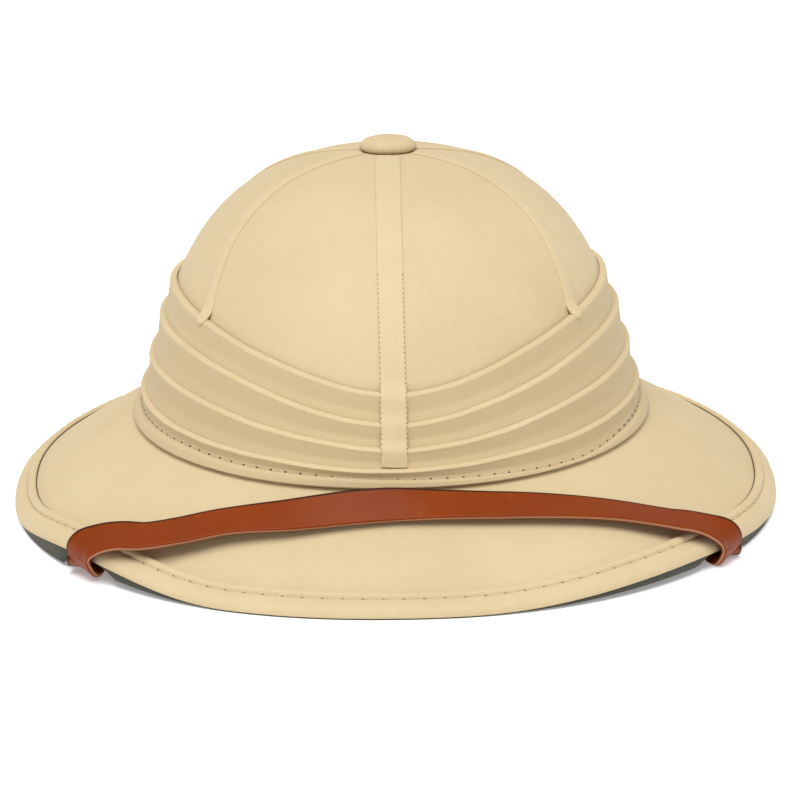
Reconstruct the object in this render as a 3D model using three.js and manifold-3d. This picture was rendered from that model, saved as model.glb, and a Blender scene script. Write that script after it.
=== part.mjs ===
// Pith helmet: a pressed shell covered in khaki cloth, with a four-pleat band around the crown,
// six taped seams, a top button, a bound brim edge, a dark facing under the brim and a leather chin strap.
// Millimetres. The front points along -Y, +X is the wearer's left, +Z is up, and the floor is z = 0.
// The origin is on the floor, in the middle of the brim's length and width.

import * as THREE from 'three';
import { mergeVertices } from 'three/addons/utils/BufferGeometryUtils.js';
import Module from 'manifold-3d';

// Driving sizes of the brim, measured from the crown's axis
const brimHalfWidth = 150;
const brimFrontReach = 176;
const brimBackReach = 182.6;
const brimRoundness = { front: 2.19, back: 1.98 }; // power of the oval: 2 is an ellipse, more is squarer
const sideRimLift = 0.4;

// The rim waves up between its front or back and its sides: by how much, how many degrees from the
// side the wave's top lies, and how many degrees it runs on from there
const rimWaves = {
  frontLeft: { lift: 4.9, top: 44, run: 36 },
  frontRight: { lift: 6.9, top: 40, run: 27 },
  back: { lift: 0.8, top: 45, run: 45 },
};

// Driving sizes of the crown
const crownHalfWidth = 99.4;
const crownHalfLength = 119.2;
const crownRoundness = 2.12;
const crownBase = 33; // height at which the crown meets the brim
const crownTop = 134.8;
const crownBaseDip = 1.2; // the joint of crown and brim is this much lower at the front and back
const crownAxisX = -1.4; // the crown was pressed this far off the middle of the brim's width

// Thicknesses, and the space kept between pieces that touch
const shellWall = 3;
const facingThickness = 0.8;
const bindingThickness = 1;
const pleatThickness = 1;
const tapeThickness = 0.8;
const touchGap = 0.3;

// Rim: the turned-down band of the brim's edge, and the rolled ridge at its inner side
const rimBandSide = { inset: 3.9, rise: 7.2 };
const rimBandFront = { inset: 5.5, rise: 5.9 };
const rimFaceHeight = 1.8; // upright end face of the shell
const rimLip = 1; // dark lip of the facing that shows below the binding
const rimFoot = 1.6; // width of the lip's flat underside
const ridgeWidth = 3.5;
const ridgeHeight = 1.3;

// Pleats: each stands off the crown at its folded top edge
const pleatStand = 1.3;
const pleatOverlap = 3;

// Seam tapes, button, strap and rivets
const tapeWidth = 10;
const buttonRadius = 11;
const buttonHeight = 5.2;
const strapWidth = 14.5;
const strapThickness = 2;
const rivetShankRadius = 2;
const rivetHeadRadius = 4.5;
const rivetHeadHeight = 1.4;
const rivetDepth = 1.8; // how far the shank goes into the shell's wall

const steps = 56; // stations around the helmet
const fullTurn = Math.PI * 2;
const degrees = Math.PI / 180;
const crownAxisY = (brimFrontReach - brimBackReach) / 2;

// Handles of the crown's side curve, as shares of its half width and of its rise
const crownRise = crownTop - crownBase;
const crownCurve = new THREE.CubicBezierCurve(
  new THREE.Vector2(1, 0),
  new THREE.Vector2(0.868, 0.285),
  new THREE.Vector2(0.907, 1),
  new THREE.Vector2(0, 1),
);

// Rows of the crown from the top down, as shares along that curve, outside and inside the shell
const crownShares = [0.91, 0.82, 0.73, 0.63, 0.53, 0.42, 0.31, 0.2, 0.11, 0.045];
const innerShares = [0.1, 0.3, 0.58, 0.85];

// Pleat folds: height of each folded top edge, as a share of the crown's rise
const pleatFolds = [
  { name: 'pugaree_pleat_top', front: 0.3235, side: 0.529 },
  { name: 'pugaree_pleat_upper', front: 0.222, side: 0.4065 },
  { name: 'pugaree_pleat_lower', front: 0.135, side: 0.255 },
  { name: 'pugaree_base_band', front: 0.0646, side: 0.116 },
];
const foldSweep = 1.4; // how the fold falls from the side to the front
const foldTurn = 2.3; // degrees from the front to the folds' lowest point, on the wearer's left
const foldSlant = 0.01; // the folds lie this much higher on the wearer's left, and lower on the right

// Materials
const cloth = new THREE.MeshStandardMaterial({ color: 0xe4d2a8, roughness: 0.85, metalness: 0 });
const tape = new THREE.MeshStandardMaterial({ color: 0xe6d4ad, roughness: 0.8, metalness: 0 });
const facing = new THREE.MeshStandardMaterial({ color: 0x4a4a34, roughness: 0.9, metalness: 0 });
const leather = new THREE.MeshStandardMaterial({ color: 0x8a4319, roughness: 0.5, metalness: 0 });
const brass = new THREE.MeshStandardMaterial({ color: 0xa9894f, roughness: 0.4, metalness: 1 });

const wasm = await Module();
wasm.setup();

const helmet = new THREE.Group();

// Adds one named piece
function addPiece(name, geometry, material) {
  const mesh = new THREE.Mesh(geometry, material);
  mesh.name = name;
  helmet.add(mesh);
}

// Angles around the helmet. A pair of stations lies evenly on each side of the front and of the back
function ringAngles() {
  return Array.from({ length: steps }, (_, i) => ((i + 0.5) / steps) * fullTurn);
}

// Radius of a rounded oval of unit half axes
function ovalRadius(angle, power) {
  const c = Math.abs(Math.cos(angle)) ** power;
  const s = Math.abs(Math.sin(angle)) ** power;
  return (c + s) ** (-1 / power);
}

// Turns rows of points into a closed surface. Each row is a closed loop, or one point at a pole.
// joinEnds closes the rows into a ring; otherwise each end that is a loop is capped.
function skinRows(rows, joinEnds) {
  const positions = [];
  const starts = rows.map((row) => {
    const start = positions.length / 3;
    row.forEach((p) => positions.push(p.x, p.y, p.z));
    return start;
  });
  const index = [];
  const count = joinEnds ? rows.length : rows.length - 1;
  for (let j = 0; j < count; j += 1) {
    const k = (j + 1) % rows.length;
    bridgeRows(index, rows[j].length, starts[j], rows[k].length, starts[k]);
  }
  if (!joinEnds) {
    capRow(index, rows[0].length, starts[0], false);
    capRow(index, rows.at(-1).length, starts.at(-1), true);
  }
  const geometry = new THREE.BufferGeometry();
  geometry.setAttribute('position', new THREE.Float32BufferAttribute(positions, 3));
  geometry.setIndex(index);
  return faceOutward(geometry);
}

function bridgeRows(index, lengthA, startA, lengthB, startB) {
  const length = Math.max(lengthA, lengthB);
  for (let i = 0; i < length; i += 1) {
    const next = (i + 1) % length;
    const a = startA + (lengthA === 1 ? 0 : i);
    const b = startA + (lengthA === 1 ? 0 : next);
    const c = startB + (lengthB === 1 ? 0 : next);
    const d = startB + (lengthB === 1 ? 0 : i);
    if (lengthA > 1) index.push(a, b, c);
    if (lengthB > 1) index.push(a, c, d);
  }
}

function capRow(index, length, start, last) {
  for (let i = 1; i < length - 1; i += 1) {
    if (last) index.push(start, start + i, start + i + 1);
    else index.push(start, start + i + 1, start + i);
  }
}

// Reverses the triangles of a surface that encloses a negative volume
function faceOutward(geometry) {
  const p = geometry.attributes.position;
  const index = geometry.index.array;
  const corners = [new THREE.Vector3(), new THREE.Vector3(), new THREE.Vector3()];
  let volume = 0;
  for (let i = 0; i < index.length; i += 3) {
    corners.forEach((corner, k) => corner.fromBufferAttribute(p, index[i + k]));
    volume += corners[0].dot(corners[1].clone().cross(corners[2]));
  }
  if (volume < 0) {
    const turned = Array.from(index);
    for (let i = 0; i < turned.length; i += 3) {
      [turned[i + 1], turned[i + 2]] = [turned[i + 2], turned[i + 1]];
    }
    geometry.setIndex(turned);
  }
  return geometry;
}

// Cuts tool shapes out of a closed shape
function cutAway(geometry, tools) {
  let solid = toSolid(geometry);
  tools.forEach((tool) => {
    solid = solid.subtract(toSolid(tool));
  });
  const mesh = solid.getMesh();
  const result = new THREE.BufferGeometry();
  const stride = mesh.numProp;
  const count = mesh.vertProperties.length / stride;
  const positions = [];
  for (let i = 0; i < count; i += 1) {
    positions.push(...mesh.vertProperties.slice(i * stride, i * stride + 3));
  }
  result.setAttribute('position', new THREE.Float32BufferAttribute(positions, 3));
  result.setIndex(Array.from(mesh.triVerts));
  return result;
}

function toSolid(geometry) {
  const bare = geometry.clone();
  bare.deleteAttribute('normal');
  bare.deleteAttribute('uv');
  const merged = mergeVertices(bare, 1e-4);
  const vertProperties = new Float32Array(merged.attributes.position.array);
  const triVerts = new Uint32Array(merged.index.array);
  return new wasm.Manifold(new wasm.Mesh({ numProp: 3, vertProperties, triVerts }));
}

// Crown surface. share runs along the side curve from the brim (0) to the top (1), and out is the
// distance from the shell's outer face, square to it
function crownPoint(angle, share, out) {
  const p = crownCurve.getPoint(share);
  const tangent = crownCurve.getTangent(share);
  const rise = tangent.y * crownRise;
  const run = -tangent.x * crownHalfWidth;
  const steep = Math.hypot(rise, run);
  const outward = (out * rise) / steep;
  const upward = (out * run) / steep;
  const radius = ovalRadius(angle, 2 + (crownRoundness - 2) * (1 - share));
  const halfWidth = p.x * crownHalfWidth + outward;
  const halfLength = p.x * crownHalfLength + outward;
  const dip = crownBaseDip * Math.sin(angle) ** 2 * (1 - p.y);
  const level = crownBase + p.y * crownRise + upward - dip;
  const x = halfWidth * radius * Math.cos(angle) + crownAxisX;
  const y = halfLength * radius * Math.sin(angle) + crownAxisY;
  return new THREE.Vector3(x, y, level);
}

// Share along the crown's side curve at a height given as a share of the rise
function crownShareAt(heightShare) {
  let low = 0;
  let high = 1;
  for (let i = 0; i < 40; i += 1) {
    const middle = (low + high) / 2;
    if (crownCurve.getPoint(middle).y < heightShare) low = middle;
    else high = middle;
  }
  return low;
}

// Height of the rim's lowest line above the floor
function rimHeight(angle) {
  const front = Math.cos(angle) > 0 ? rimWaves.frontLeft : rimWaves.frontRight;
  const wave = Math.sin(angle) < 0 ? front : rimWaves.back;
  const fromSide = Math.atan2(Math.abs(Math.sin(angle)), Math.abs(Math.cos(angle))) / degrees;
  const away = Math.min(1, Math.abs(fromSide - wave.top) / wave.run);
  return sideRimLift * Math.cos(angle) ** 2 + wave.lift * Math.cos((away * Math.PI) / 2) ** 2;
}

// One upright section of the brim: a point at a distance out from the crown's foot, at a height
function brimSection(angle) {
  const foot = crownPoint(angle, 0, 0);
  const ahead = Math.sin(angle) < 0;
  const radius = ovalRadius(angle, ahead ? brimRoundness.front : brimRoundness.back);
  const reach = ahead ? brimFrontReach : brimBackReach;
  const edge = new THREE.Vector3(
    brimHalfWidth * radius * Math.cos(angle),
    reach * radius * Math.sin(angle) + crownAxisY,
    0,
  );
  const outward = edge.clone().sub(foot).setZ(0);
  const width = outward.length();
  outward.normalize();
  const side = Math.cos(angle) ** 2;
  const bandInset = THREE.MathUtils.lerp(rimBandFront.inset, rimBandSide.inset, side);
  const bandRise = THREE.MathUtils.lerp(rimBandFront.rise, rimBandSide.rise, side);
  const cover = bindingThickness + touchGap;
  const low = rimHeight(angle);
  const end = { q: width - cover, z: low + rimLip + touchGap + rimFaceHeight };
  const stitch = { q: width - bandInset - cover, z: low + bandRise - cover / 2 };
  const ridgeSlope = 0.6 * Math.atan2(stitch.z - end.z, end.q - stitch.q);
  const ridge = {
    q: stitch.q - ridgeWidth * Math.cos(ridgeSlope),
    z: stitch.z + ridgeWidth * Math.sin(ridgeSlope),
  };
  const slope = Math.atan2(foot.z - ridge.z, ridge.q);
  const bandSlope = Math.atan2(stitch.z - end.z, end.q - stitch.q);
  const at = (q, z) => new THREE.Vector3(foot.x + outward.x * q, foot.y + outward.y * q, z);
  return { at, foot, width, low, end, stitch, ridge, slope, ridgeSlope, bandSlope };
}

// Moves a section point square to a slope
function lift(point, slope, distance) {
  return { q: point.q + distance * Math.sin(slope), z: point.z + distance * Math.cos(slope) };
}

// A section point on the main face of the brim, at a share of the way to the ridge
const brimCrowning = 0.8;
function onMainFace(s, share, out) {
  const bulge = brimCrowning * Math.sin(share * Math.PI);
  const p = { q: s.ridge.q * share, z: THREE.MathUtils.lerp(s.foot.z, s.ridge.z, share) + bulge };
  return lift(p, s.slope, out);
}

// Shell: crown and brim pressed in one piece, open below
const brimShares = [0.33, 0.66, 1];

function shellCorner(s) {
  const drop = (shellWall * (1 - Math.sin(s.slope))) / Math.cos(s.slope);
  return { q: -shellWall, z: s.foot.z - drop };
}

function shellSection(angle) {
  const s = brimSection(angle);
  const stitchSlope = (s.ridgeSlope + s.bandSlope) / 2;
  const place = (p) => s.at(p.q, p.z);
  return [
    ...crownShares.map((share) => crownPoint(angle, share, 0)),
    s.foot,
    ...brimShares.map((share) => place(onMainFace(s, share, 0))),
    place(s.stitch),
    place(s.end),
    place({ q: s.end.q, z: s.end.z - rimFaceHeight }),
    place(lift(s.stitch, stitchSlope, -shellWall)),
    ...brimShares.toReversed().map((share) => place(onMainFace(s, share, -shellWall))),
    place(shellCorner(s)),
    ...innerShares.map((share) => crownPoint(angle, share, -shellWall)),
  ];
}

// Lays sections, one for each angle, out as rows that run around the helmet
function rowsAround(sections) {
  return sections[0].map((_, j) => sections.map((section) => section[j]));
}

function shellGeometry() {
  const rows = rowsAround(ringAngles().map(shellSection));
  const top = crownPoint(0, 1, 0);
  const innerTop = crownPoint(0, 1, -shellWall);
  return skinRows([[top], ...rows, [innerTop]], false);
}

// Binding: a cloth edge folded over the rim, with a rolled ridge at its inner side
const ridgeShape = [
  { along: 0, out: 0.35 },
  { along: 0.22, out: 0.9 },
  { along: 0.5, out: 1 },
  { along: 0.78, out: 0.9 },
];

function bindingSection(angle) {
  const s = brimSection(angle);
  const cover = bindingThickness + touchGap;
  const stitchSlope = (s.ridgeSlope + s.bandSlope) / 2;
  const ridgeTop = ridgeShape.map(({ along, out }) => {
    const q = THREE.MathUtils.lerp(s.ridge.q, s.stitch.q, along);
    const z = THREE.MathUtils.lerp(s.ridge.z, s.stitch.z, along);
    return lift({ q, z }, s.ridgeSlope, touchGap + bindingThickness * 0.3 + ridgeHeight * out);
  });
  const bottom = s.low + rimLip + touchGap;
  return [
    ...ridgeTop,
    lift(s.stitch, stitchSlope, cover * 0.8),
    lift(s.end, s.bandSlope, cover * 0.9),
    { q: s.width, z: s.end.z - rimFaceHeight / 3 },
    { q: s.width, z: bottom },
    { q: s.width - bindingThickness, z: bottom },
    { q: s.width - bindingThickness, z: s.end.z },
    lift(s.end, s.bandSlope, touchGap),
    lift(s.stitch, stitchSlope, touchGap),
    lift(s.ridge, s.ridgeSlope, touchGap),
  ].map((p) => s.at(p.q, p.z));
}

// Facing: dark cloth under the brim, with a lip that shows below the binding
function facingSection(angle) {
  const s = brimSection(angle);
  const back = -shellWall - touchGap * 1.8;
  const face = back - facingThickness;
  const stitchSlope = (s.ridgeSlope + s.bandSlope) / 2;
  const corner = shellCorner(s);
  const innerTop = { q: corner.q + touchGap, z: corner.z - touchGap - touchGap };
  const upper = brimShares.map((share) => onMainFace(s, share, back));
  const lower = brimShares.map((share) => onMainFace(s, share, face)).toReversed();
  return [
    innerTop,
    ...upper,
    lift(s.stitch, stitchSlope, back),
    { q: s.end.q - rimFoot, z: s.low + rimLip },
    { q: s.width - touchGap, z: s.low + rimLip },
    { q: s.width - touchGap * 2, z: s.low },
    { q: s.width - touchGap * 2 - rimFoot, z: s.low },
    lift(s.stitch, stitchSlope, face),
    ...lower,
    { q: innerTop.q, z: innerTop.z - facingThickness },
  ].map((p) => s.at(p.q, p.z));
}

function ringGeometry(sectionAt) {
  return skinRows(rowsAround(ringAngles().map(sectionAt)), true);
}

// Height of a pleat's folded edge, as a share of the crown's rise
function foldHeight(fold, angle) {
  const aside = Math.abs(Math.cos(angle - foldTurn * degrees));
  const sweep = (aside ** foldSweep + THREE.MathUtils.smoothstep(aside, 0, 1)) / 2;
  return THREE.MathUtils.lerp(fold.front, fold.side, sweep) + foldSlant * Math.cos(angle);
}

// Pleats: strips of folded cloth, each with its folded edge up and its foot under the next one
function pleatSection(number) {
  const fold = pleatFolds[number];
  const below = pleatFolds[number + 1];
  const overlap = pleatOverlap / crownRise;
  const backOut = number === 0 ? touchGap : touchGap + pleatStand;
  const frontOut = touchGap + pleatStand + pleatThickness;
  return (angle) => {
    const top = foldHeight(fold, angle);
    const foot = below ? foldHeight(below, angle) - overlap : 0;
    const at = (height, out) => crownPoint(angle, crownShareAt(Math.max(height, 0)), out);
    const shoulder = top - overlap * 0.2;
    const tucked = below ? foot + overlap * 1.2 : foot;
    const behind = top - overlap * 1.3;
    const middle = (top + tucked) / 2;
    return [
      at(shoulder, backOut),
      at(top, (backOut + frontOut) / 2),
      at(shoulder, frontOut),
      at(middle, touchGap + pleatThickness + pleatStand * 0.6),
      ...(below ? [at(tucked, touchGap + pleatThickness)] : []),
      at(foot, touchGap + pleatThickness),
      at(foot, touchGap),
      at((foot + behind) / 2, touchGap + (backOut - touchGap) * 0.75),
      at(behind, backOut),
    ];
  };
}

// Seam tapes: angles are from the front, positive to the wearer's left. foot is where the tape
// meets the pleats, and top is where it reaches the button
const seams = [
  { name: 'seam_tape_front', foot: 0, top: 0, crossed: 3 },
  { name: 'seam_tape_front_left', foot: 54, top: 69, crossed: 0 },
  { name: 'seam_tape_back_left', foot: 126, top: 111, crossed: 0 },
  { name: 'seam_tape_back', foot: 180, top: 180, crossed: 3 },
  { name: 'seam_tape_back_right', foot: -126, top: -111, crossed: 0 },
  { name: 'seam_tape_front_right', foot: -54, top: -69, crossed: 0 },
];
const tapeClearOfFold = 0.7; // a tape stops this far above the fold that it runs up to
const tapeTip = 2.6; // a tape that ends at the top fold laps over it by this much, in a narrow tip

function angleFromFront(value) {
  return (value - 90) * degrees;
}

// Share along the crown's side curve at a radius given as a share of the half width
function crownShareAtRadius(radiusShare) {
  let low = 0.5;
  let high = 1;
  for (let i = 0; i < 40; i += 1) {
    const middle = (low + high) / 2;
    if (crownCurve.getPoint(middle).x > radiusShare) low = middle;
    else high = middle;
  }
  return low;
}

// Places on a tape, from the button down. height gives the share of the crown's rise at an angle,
// bed is how far what lies under the tape stands off the shell, and narrow is a share of its width
function tapePlaces(seam) {
  const start = crownShareAtRadius((buttonRadius + 1) / crownHalfWidth);
  const clear = tapeClearOfFold / crownRise;
  const topFold = (angle) => foldHeight(pleatFolds[0], angle);
  const first = crownShareAt(topFold(angleFromFront(seam.foot)) + clear * 3);
  const between = crownShares.filter((share) => share < start && share > first + 0.03);
  const places = [start, ...between].map((share) => ({
    height: () => crownCurve.getPoint(share).y,
    bed: 0,
    run: (start - share) / (start - first),
  }));
  places.push({ height: (a) => topFold(a) + clear * 3, bed: 0, run: 1 });
  const folded = touchGap + pleatStand + pleatThickness;
  const tucked = touchGap + pleatThickness;
  const onto = 0.2 / crownRise;
  if (seam.crossed === 0) {
    const tip = (angle) => topFold(angle) - tapeTip / crownRise;
    places.push({ height: (a) => topFold(a) + onto, bed: folded - pleatStand * 0.2, run: 1 });
    places.push({ height: (a) => topFold(a) - onto * 2, bed: folded, run: 1, narrow: 0.75 });
    return [...places, { height: tip, bed: folded, run: 1, narrow: 0.2 }];
  }
  for (let number = 0; number < seam.crossed; number += 1) {
    const fold = (angle) => foldHeight(pleatFolds[number], angle);
    const next = (angle) => foldHeight(pleatFolds[number + 1], angle);
    places.push({ height: (a) => fold(a) + onto, bed: folded - pleatStand * 0.2, run: 1 });
    places.push({ height: (a) => fold(a) - onto * 2, bed: folded, run: 1 });
    places.push({ height: (a) => (fold(a) + next(a)) / 2, bed: tucked + pleatStand * 0.7, run: 1 });
    places.push({ height: (a) => next(a) + clear * 2, bed: tucked + pleatStand * 0.35, run: 1 });
  }
  const last = (angle) => foldHeight(pleatFolds[seam.crossed], angle) + clear;
  return [...places, { height: last, bed: tucked + pleatStand * 0.3, run: 1 }];
}

const tapeTopWidth = 8;
const tapeCrown = 0.25; // the tape is this much fuller along its middle

function tapeGeometry(seam) {
  const rows = tapePlaces(seam).map(({ height, bed, run, narrow = 1 }) => {
    const angle = angleFromFront(THREE.MathUtils.lerp(seam.top, seam.foot, run));
    const width = THREE.MathUtils.lerp(tapeTopWidth, tapeWidth, Math.min(1, run * 2)) * narrow;
    const share = crownShareAt(height(angle));
    const stride = crownPoint(angle + 0.01, share, 0).distanceTo(crownPoint(angle - 0.01, share, 0));
    const half = (width / 2) * (0.02 / stride);
    const at = (side, out) => {
      const place = angle + side * half;
      return crownPoint(place, crownShareAt(height(place)), bed + touchGap + out);
    };
    return [
      at(-1, 0),
      at(0, 0),
      at(1, 0),
      at(1, tapeThickness),
      at(0, tapeThickness + tapeCrown),
      at(-1, tapeThickness),
    ];
  });
  return skinRows(rows, false);
}

// Button: a cloth-covered dome on the crown's top. Shares of its radius and height
const buttonShape = [
  { radius: 0, level: 0 },
  { radius: 0.93, level: 0 },
  { radius: 1, level: 0.2 },
  { radius: 0.95, level: 0.55 },
  { radius: 0.76, level: 0.84 },
  { radius: 0.42, level: 0.98 },
  { radius: 0, level: 1 },
];
const buttonSides = 18;

function placeButton() {
  const profile = buttonShape.map(
    ({ radius, level }) => new THREE.Vector2(radius * buttonRadius, level * buttonHeight),
  );
  profile[0].x = 0;
  const dome = new THREE.LatheGeometry(profile, buttonSides);
  dome.rotateX(Math.PI / 2);
  const mesh = new THREE.Mesh(dome, cloth);
  mesh.name = 'top_button';
  mesh.position.copy(crownPoint(0, 1, touchGap));
  helmet.add(mesh);
}

// Chin strap, worn up over the front. It comes from a rivet inside each side of the crown, runs
// forward under the brim, turns up around the rim and crosses the brim in front of the crown.
// angle is from the front, across is the share of the way from the crown's foot to the rim, rise is
// the height over the brim's face as a share of the strap's width, lean tips the strap's width up
// from level towards the crown, and turn swings it round from facing the crown
const strapOverBrim = [
  { angle: -44, across: 0.95, rise: 0.5, lean: 24, turn: 45 },
  { angle: -38, across: 0.8, rise: 0.53, lean: 24, turn: 12 },
  { angle: -28, across: 0.48, rise: 0.46, lean: 24, turn: 0 },
  { angle: -18, across: 0.36, rise: 0.43, lean: 34, turn: 0 },
  { angle: -8, across: 0.27, rise: 0.4, lean: 40, turn: 0 },
  { angle: 0, across: 0.23, rise: 0.36, lean: 39, turn: 0 },
  { angle: 8, across: 0.23, rise: 0.33, lean: 29, turn: 0 },
  { angle: 18, across: 0.27, rise: 0.32, lean: 24, turn: 0 },
  { angle: 28, across: 0.355, rise: 0.31, lean: 20, turn: 0 },
  { angle: 38, across: 0.525, rise: 0.3, lean: 15, turn: -5 },
  { angle: 45, across: 0.765, rise: 0.37, lean: 13, turn: -18 },
  { angle: 49, across: 0.94, rise: 0.45, lean: 14, turn: -48 },
];

// Around the rim, outside it and then below it: past is the distance out from the rim's line and
// level the height above its lowest line, as shares of the strap's width
const strapWrapLeft = 52;
const strapWrapRight = -47.5;
const strapAtRim = [
  { past: 0.2, level: 0.28, drop: 16 },
  { past: 0.03, level: -0.17, drop: 8 },
];

// Below the brim, from the rim in to the crown's foot: below is the space under the facing as a
// share of the strap's width, and turn swings the width from outward round to the back
const strapUnderBrim = [
  { swing: 7, across: 0.7, below: 0.2, turn: 42 },
  { swing: 19, across: 0.48, below: 0.1, turn: 16 },
  { swing: 32, across: 0.24, below: 0.1, turn: 35 },
  { swing: 36, across: 0.03, below: 0.16, turn: 65 },
  { swing: 36, across: -0.12, below: 0.14, turn: 82 },
];
const tabAngle = 88; // the tabs lie at the sides, measured from the front
const tabHeight = 22; // top of each tab above the crown's foot
const tabSpace = 0.9; // extra space behind the flat tab in the rounded crown
const rivetHeight = 14.5;

// A place on the strap: its middle, and the direction across its width
function overPlace({ angle, across, rise, lean, turn }) {
  const s = brimSection(angleFromFront(angle));
  const q = across * s.width;
  const middle = s.at(q, faceHeight(s, q) + rise * strapWidth);
  const inward = s.at(0, 0).sub(s.at(1, 0));
  inward.applyAxisAngle(new THREE.Vector3(0, 0, 1), turn * degrees);
  const across3 = inward.multiplyScalar(Math.cos(lean * degrees)).setZ(Math.sin(lean * degrees));
  return { middle, across: across3 };
}

// Height of the brim's outer face at a distance from the crown's foot
function faceHeight(s, q) {
  const line = [{ q: 0, z: s.foot.z }, s.ridge, s.stitch, s.end, { q: s.width, z: s.low }];
  const next = Math.max(1, line.findIndex((p) => p.q >= q));
  const a = line[next - 1];
  const b = line[next];
  return THREE.MathUtils.lerp(a.z, b.z, (q - a.q) / (b.q - a.q));
}

// Direction along the rim, away from the front, for the side that an angle is on
function rimDirection(angle) {
  const side = Math.sign(angle);
  const here = brimSection(angleFromFront(angle));
  const there = brimSection(angleFromFront(angle + side));
  return there.at(there.width, 0).sub(here.at(here.width, 0)).normalize();
}

function rimPlace(angle, { past, level, drop }) {
  const s = brimSection(angleFromFront(angle));
  const middle = s.at(s.width + past * strapWidth, s.low + level * strapWidth);
  const across = rimDirection(angle).multiplyScalar(Math.cos(drop * degrees));
  return { middle, across: across.setZ(Math.sin(drop * degrees)) };
}

function underPlace(rimAngle, { swing, across, below, turn }) {
  const side = Math.sign(rimAngle);
  const s = brimSection(angleFromFront(rimAngle + side * swing));
  const q = across * s.width;
  const covered = shellWall + facingThickness + touchGap * 2 + strapThickness / 2;
  const level = faceHeight(s, q) - covered / Math.cos(s.slope) - below * strapWidth;
  const outward = s.at(1, 0).sub(s.at(0, 0));
  const sideways = new THREE.Vector3(-outward.y * side, outward.x * side, 0);
  const downSlope = outward.multiplyScalar(Math.cos(s.slope)).setZ(-Math.sin(s.slope));
  const width = downSlope.multiplyScalar(Math.cos(turn * degrees));
  return { middle: s.at(q, level), across: width.addScaledVector(sideways, Math.sin(turn * degrees)) };
}

// The end tab stands against the inside of the crown
function tabPlace(side, height) {
  const angle = angleFromFront(side * tabAngle);
  const inset = shellWall + touchGap + tabSpace + strapThickness / 2;
  const middle = crownPoint(angle, crownShareAt(height / crownRise), -inset);
  return { middle, across: new THREE.Vector3(0, 1, 0) };
}

function sidePlaces(rimAngle) {
  const side = Math.sign(rimAngle);
  return [
    ...strapAtRim.map((row) => rimPlace(rimAngle, row)),
    ...strapUnderBrim.map((row) => underPlace(rimAngle, row)),
    tabPlace(side, tabHeight / 4),
    tabPlace(side, tabHeight / 2),
    tabPlace(side, tabHeight),
  ];
}

const strapStations = 60;

function strapPlaces() {
  return [
    ...sidePlaces(strapWrapRight).toReversed(),
    ...strapOverBrim.map(overPlace),
    ...sidePlaces(strapWrapLeft),
  ];
}

function strapGeometry() {
  const places = strapPlaces();
  const middles = new THREE.CatmullRomCurve3(places.map((p) => p.middle), false, 'centripetal');
  const acrosses = new THREE.CatmullRomCurve3(places.map((p) => p.across), false, 'centripetal');
  const rows = [];
  for (let i = 0; i <= strapStations; i += 1) {
    const share = i / strapStations;
    const middle = middles.getPoint(share);
    const along = middles.getTangent(share);
    const across = acrosses.getPoint(share);
    across.addScaledVector(along, -across.dot(along)).normalize();
    const up = along.clone().cross(across);
    const corner = (a, b) =>
      middle.clone().addScaledVector(across, (a * strapWidth) / 2).addScaledVector(up, (b * strapThickness) / 2);
    rows.push([corner(-1, -1), corner(1, -1), corner(1, 1), corner(-1, 1)]);
  }
  return skinRows(rows, false);
}

// Rivets: one through each tab, with its head inside the crown and its shank in the shell's wall.
// Depths are measured in from the shell's outer face
const rivetSides = 10;
const strapInnerFace = shellWall + touchGap + tabSpace + strapThickness;
const rivetHoleEnd = shellWall - rivetDepth;
const rivetShape = [
  { radius: 0, depth: rivetHoleEnd + touchGap },
  { radius: rivetShankRadius, depth: rivetHoleEnd + touchGap },
  { radius: rivetShankRadius, depth: strapInnerFace + touchGap },
  { radius: rivetHeadRadius, depth: strapInnerFace + touchGap },
  { radius: rivetHeadRadius * 0.8, depth: strapInnerFace + touchGap + rivetHeadHeight * 0.7 },
  { radius: 0, depth: strapInnerFace + touchGap + rivetHeadHeight },
];
const rivetHoleShape = [
  { radius: 0, depth: rivetHoleEnd },
  { radius: rivetShankRadius + touchGap, depth: rivetHoleEnd },
  { radius: rivetShankRadius + touchGap, depth: strapInnerFace * 1.5 },
  { radius: 0, depth: strapInnerFace * 1.5 },
];

function turnedInward(shape, side) {
  const profile = shape.map(({ radius, depth }) => new THREE.Vector2(radius, depth));
  const angle = angleFromFront(side * tabAngle);
  const share = crownShareAt(rivetHeight / crownRise);
  const outer = crownPoint(angle, share, 0);
  const inward = crownPoint(angle, share, -1).sub(outer).normalize();
  const turn = new THREE.Quaternion().setFromUnitVectors(new THREE.Vector3(0, 1, 0), inward);
  const geometry = new THREE.LatheGeometry(profile, rivetSides);
  return geometry.applyQuaternion(turn).translate(outer.x, outer.y, outer.z);
}

const rivetHoles = [1, -1].map((side) => turnedInward(rivetHoleShape, side));

for (const [number, fold] of pleatFolds.entries()) {
  addPiece(fold.name, ringGeometry(pleatSection(number)), cloth);
}
for (const seam of seams) {
  addPiece(seam.name, tapeGeometry(seam), tape);
}
placeButton();
addPiece('chin_strap', cutAway(strapGeometry(), rivetHoles), leather);
addPiece('chin_strap_rivet_left', turnedInward(rivetShape, 1), brass);
addPiece('chin_strap_rivet_right', turnedInward(rivetShape, -1), brass);
addPiece('helmet_shell', cutAway(shellGeometry(), rivetHoles), cloth);
addPiece('brim_binding', ringGeometry(bindingSection), cloth);
addPiece('underbrim_facing', ringGeometry(facingSection), facing);

export default helmet;
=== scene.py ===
# Pith helmet. Metres. The front points along -Y, +X is the wearer's left, +Z is up, the floor is z = 0
import math
import bpy
import numpy as np
from mathutils import Matrix, Vector


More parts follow.
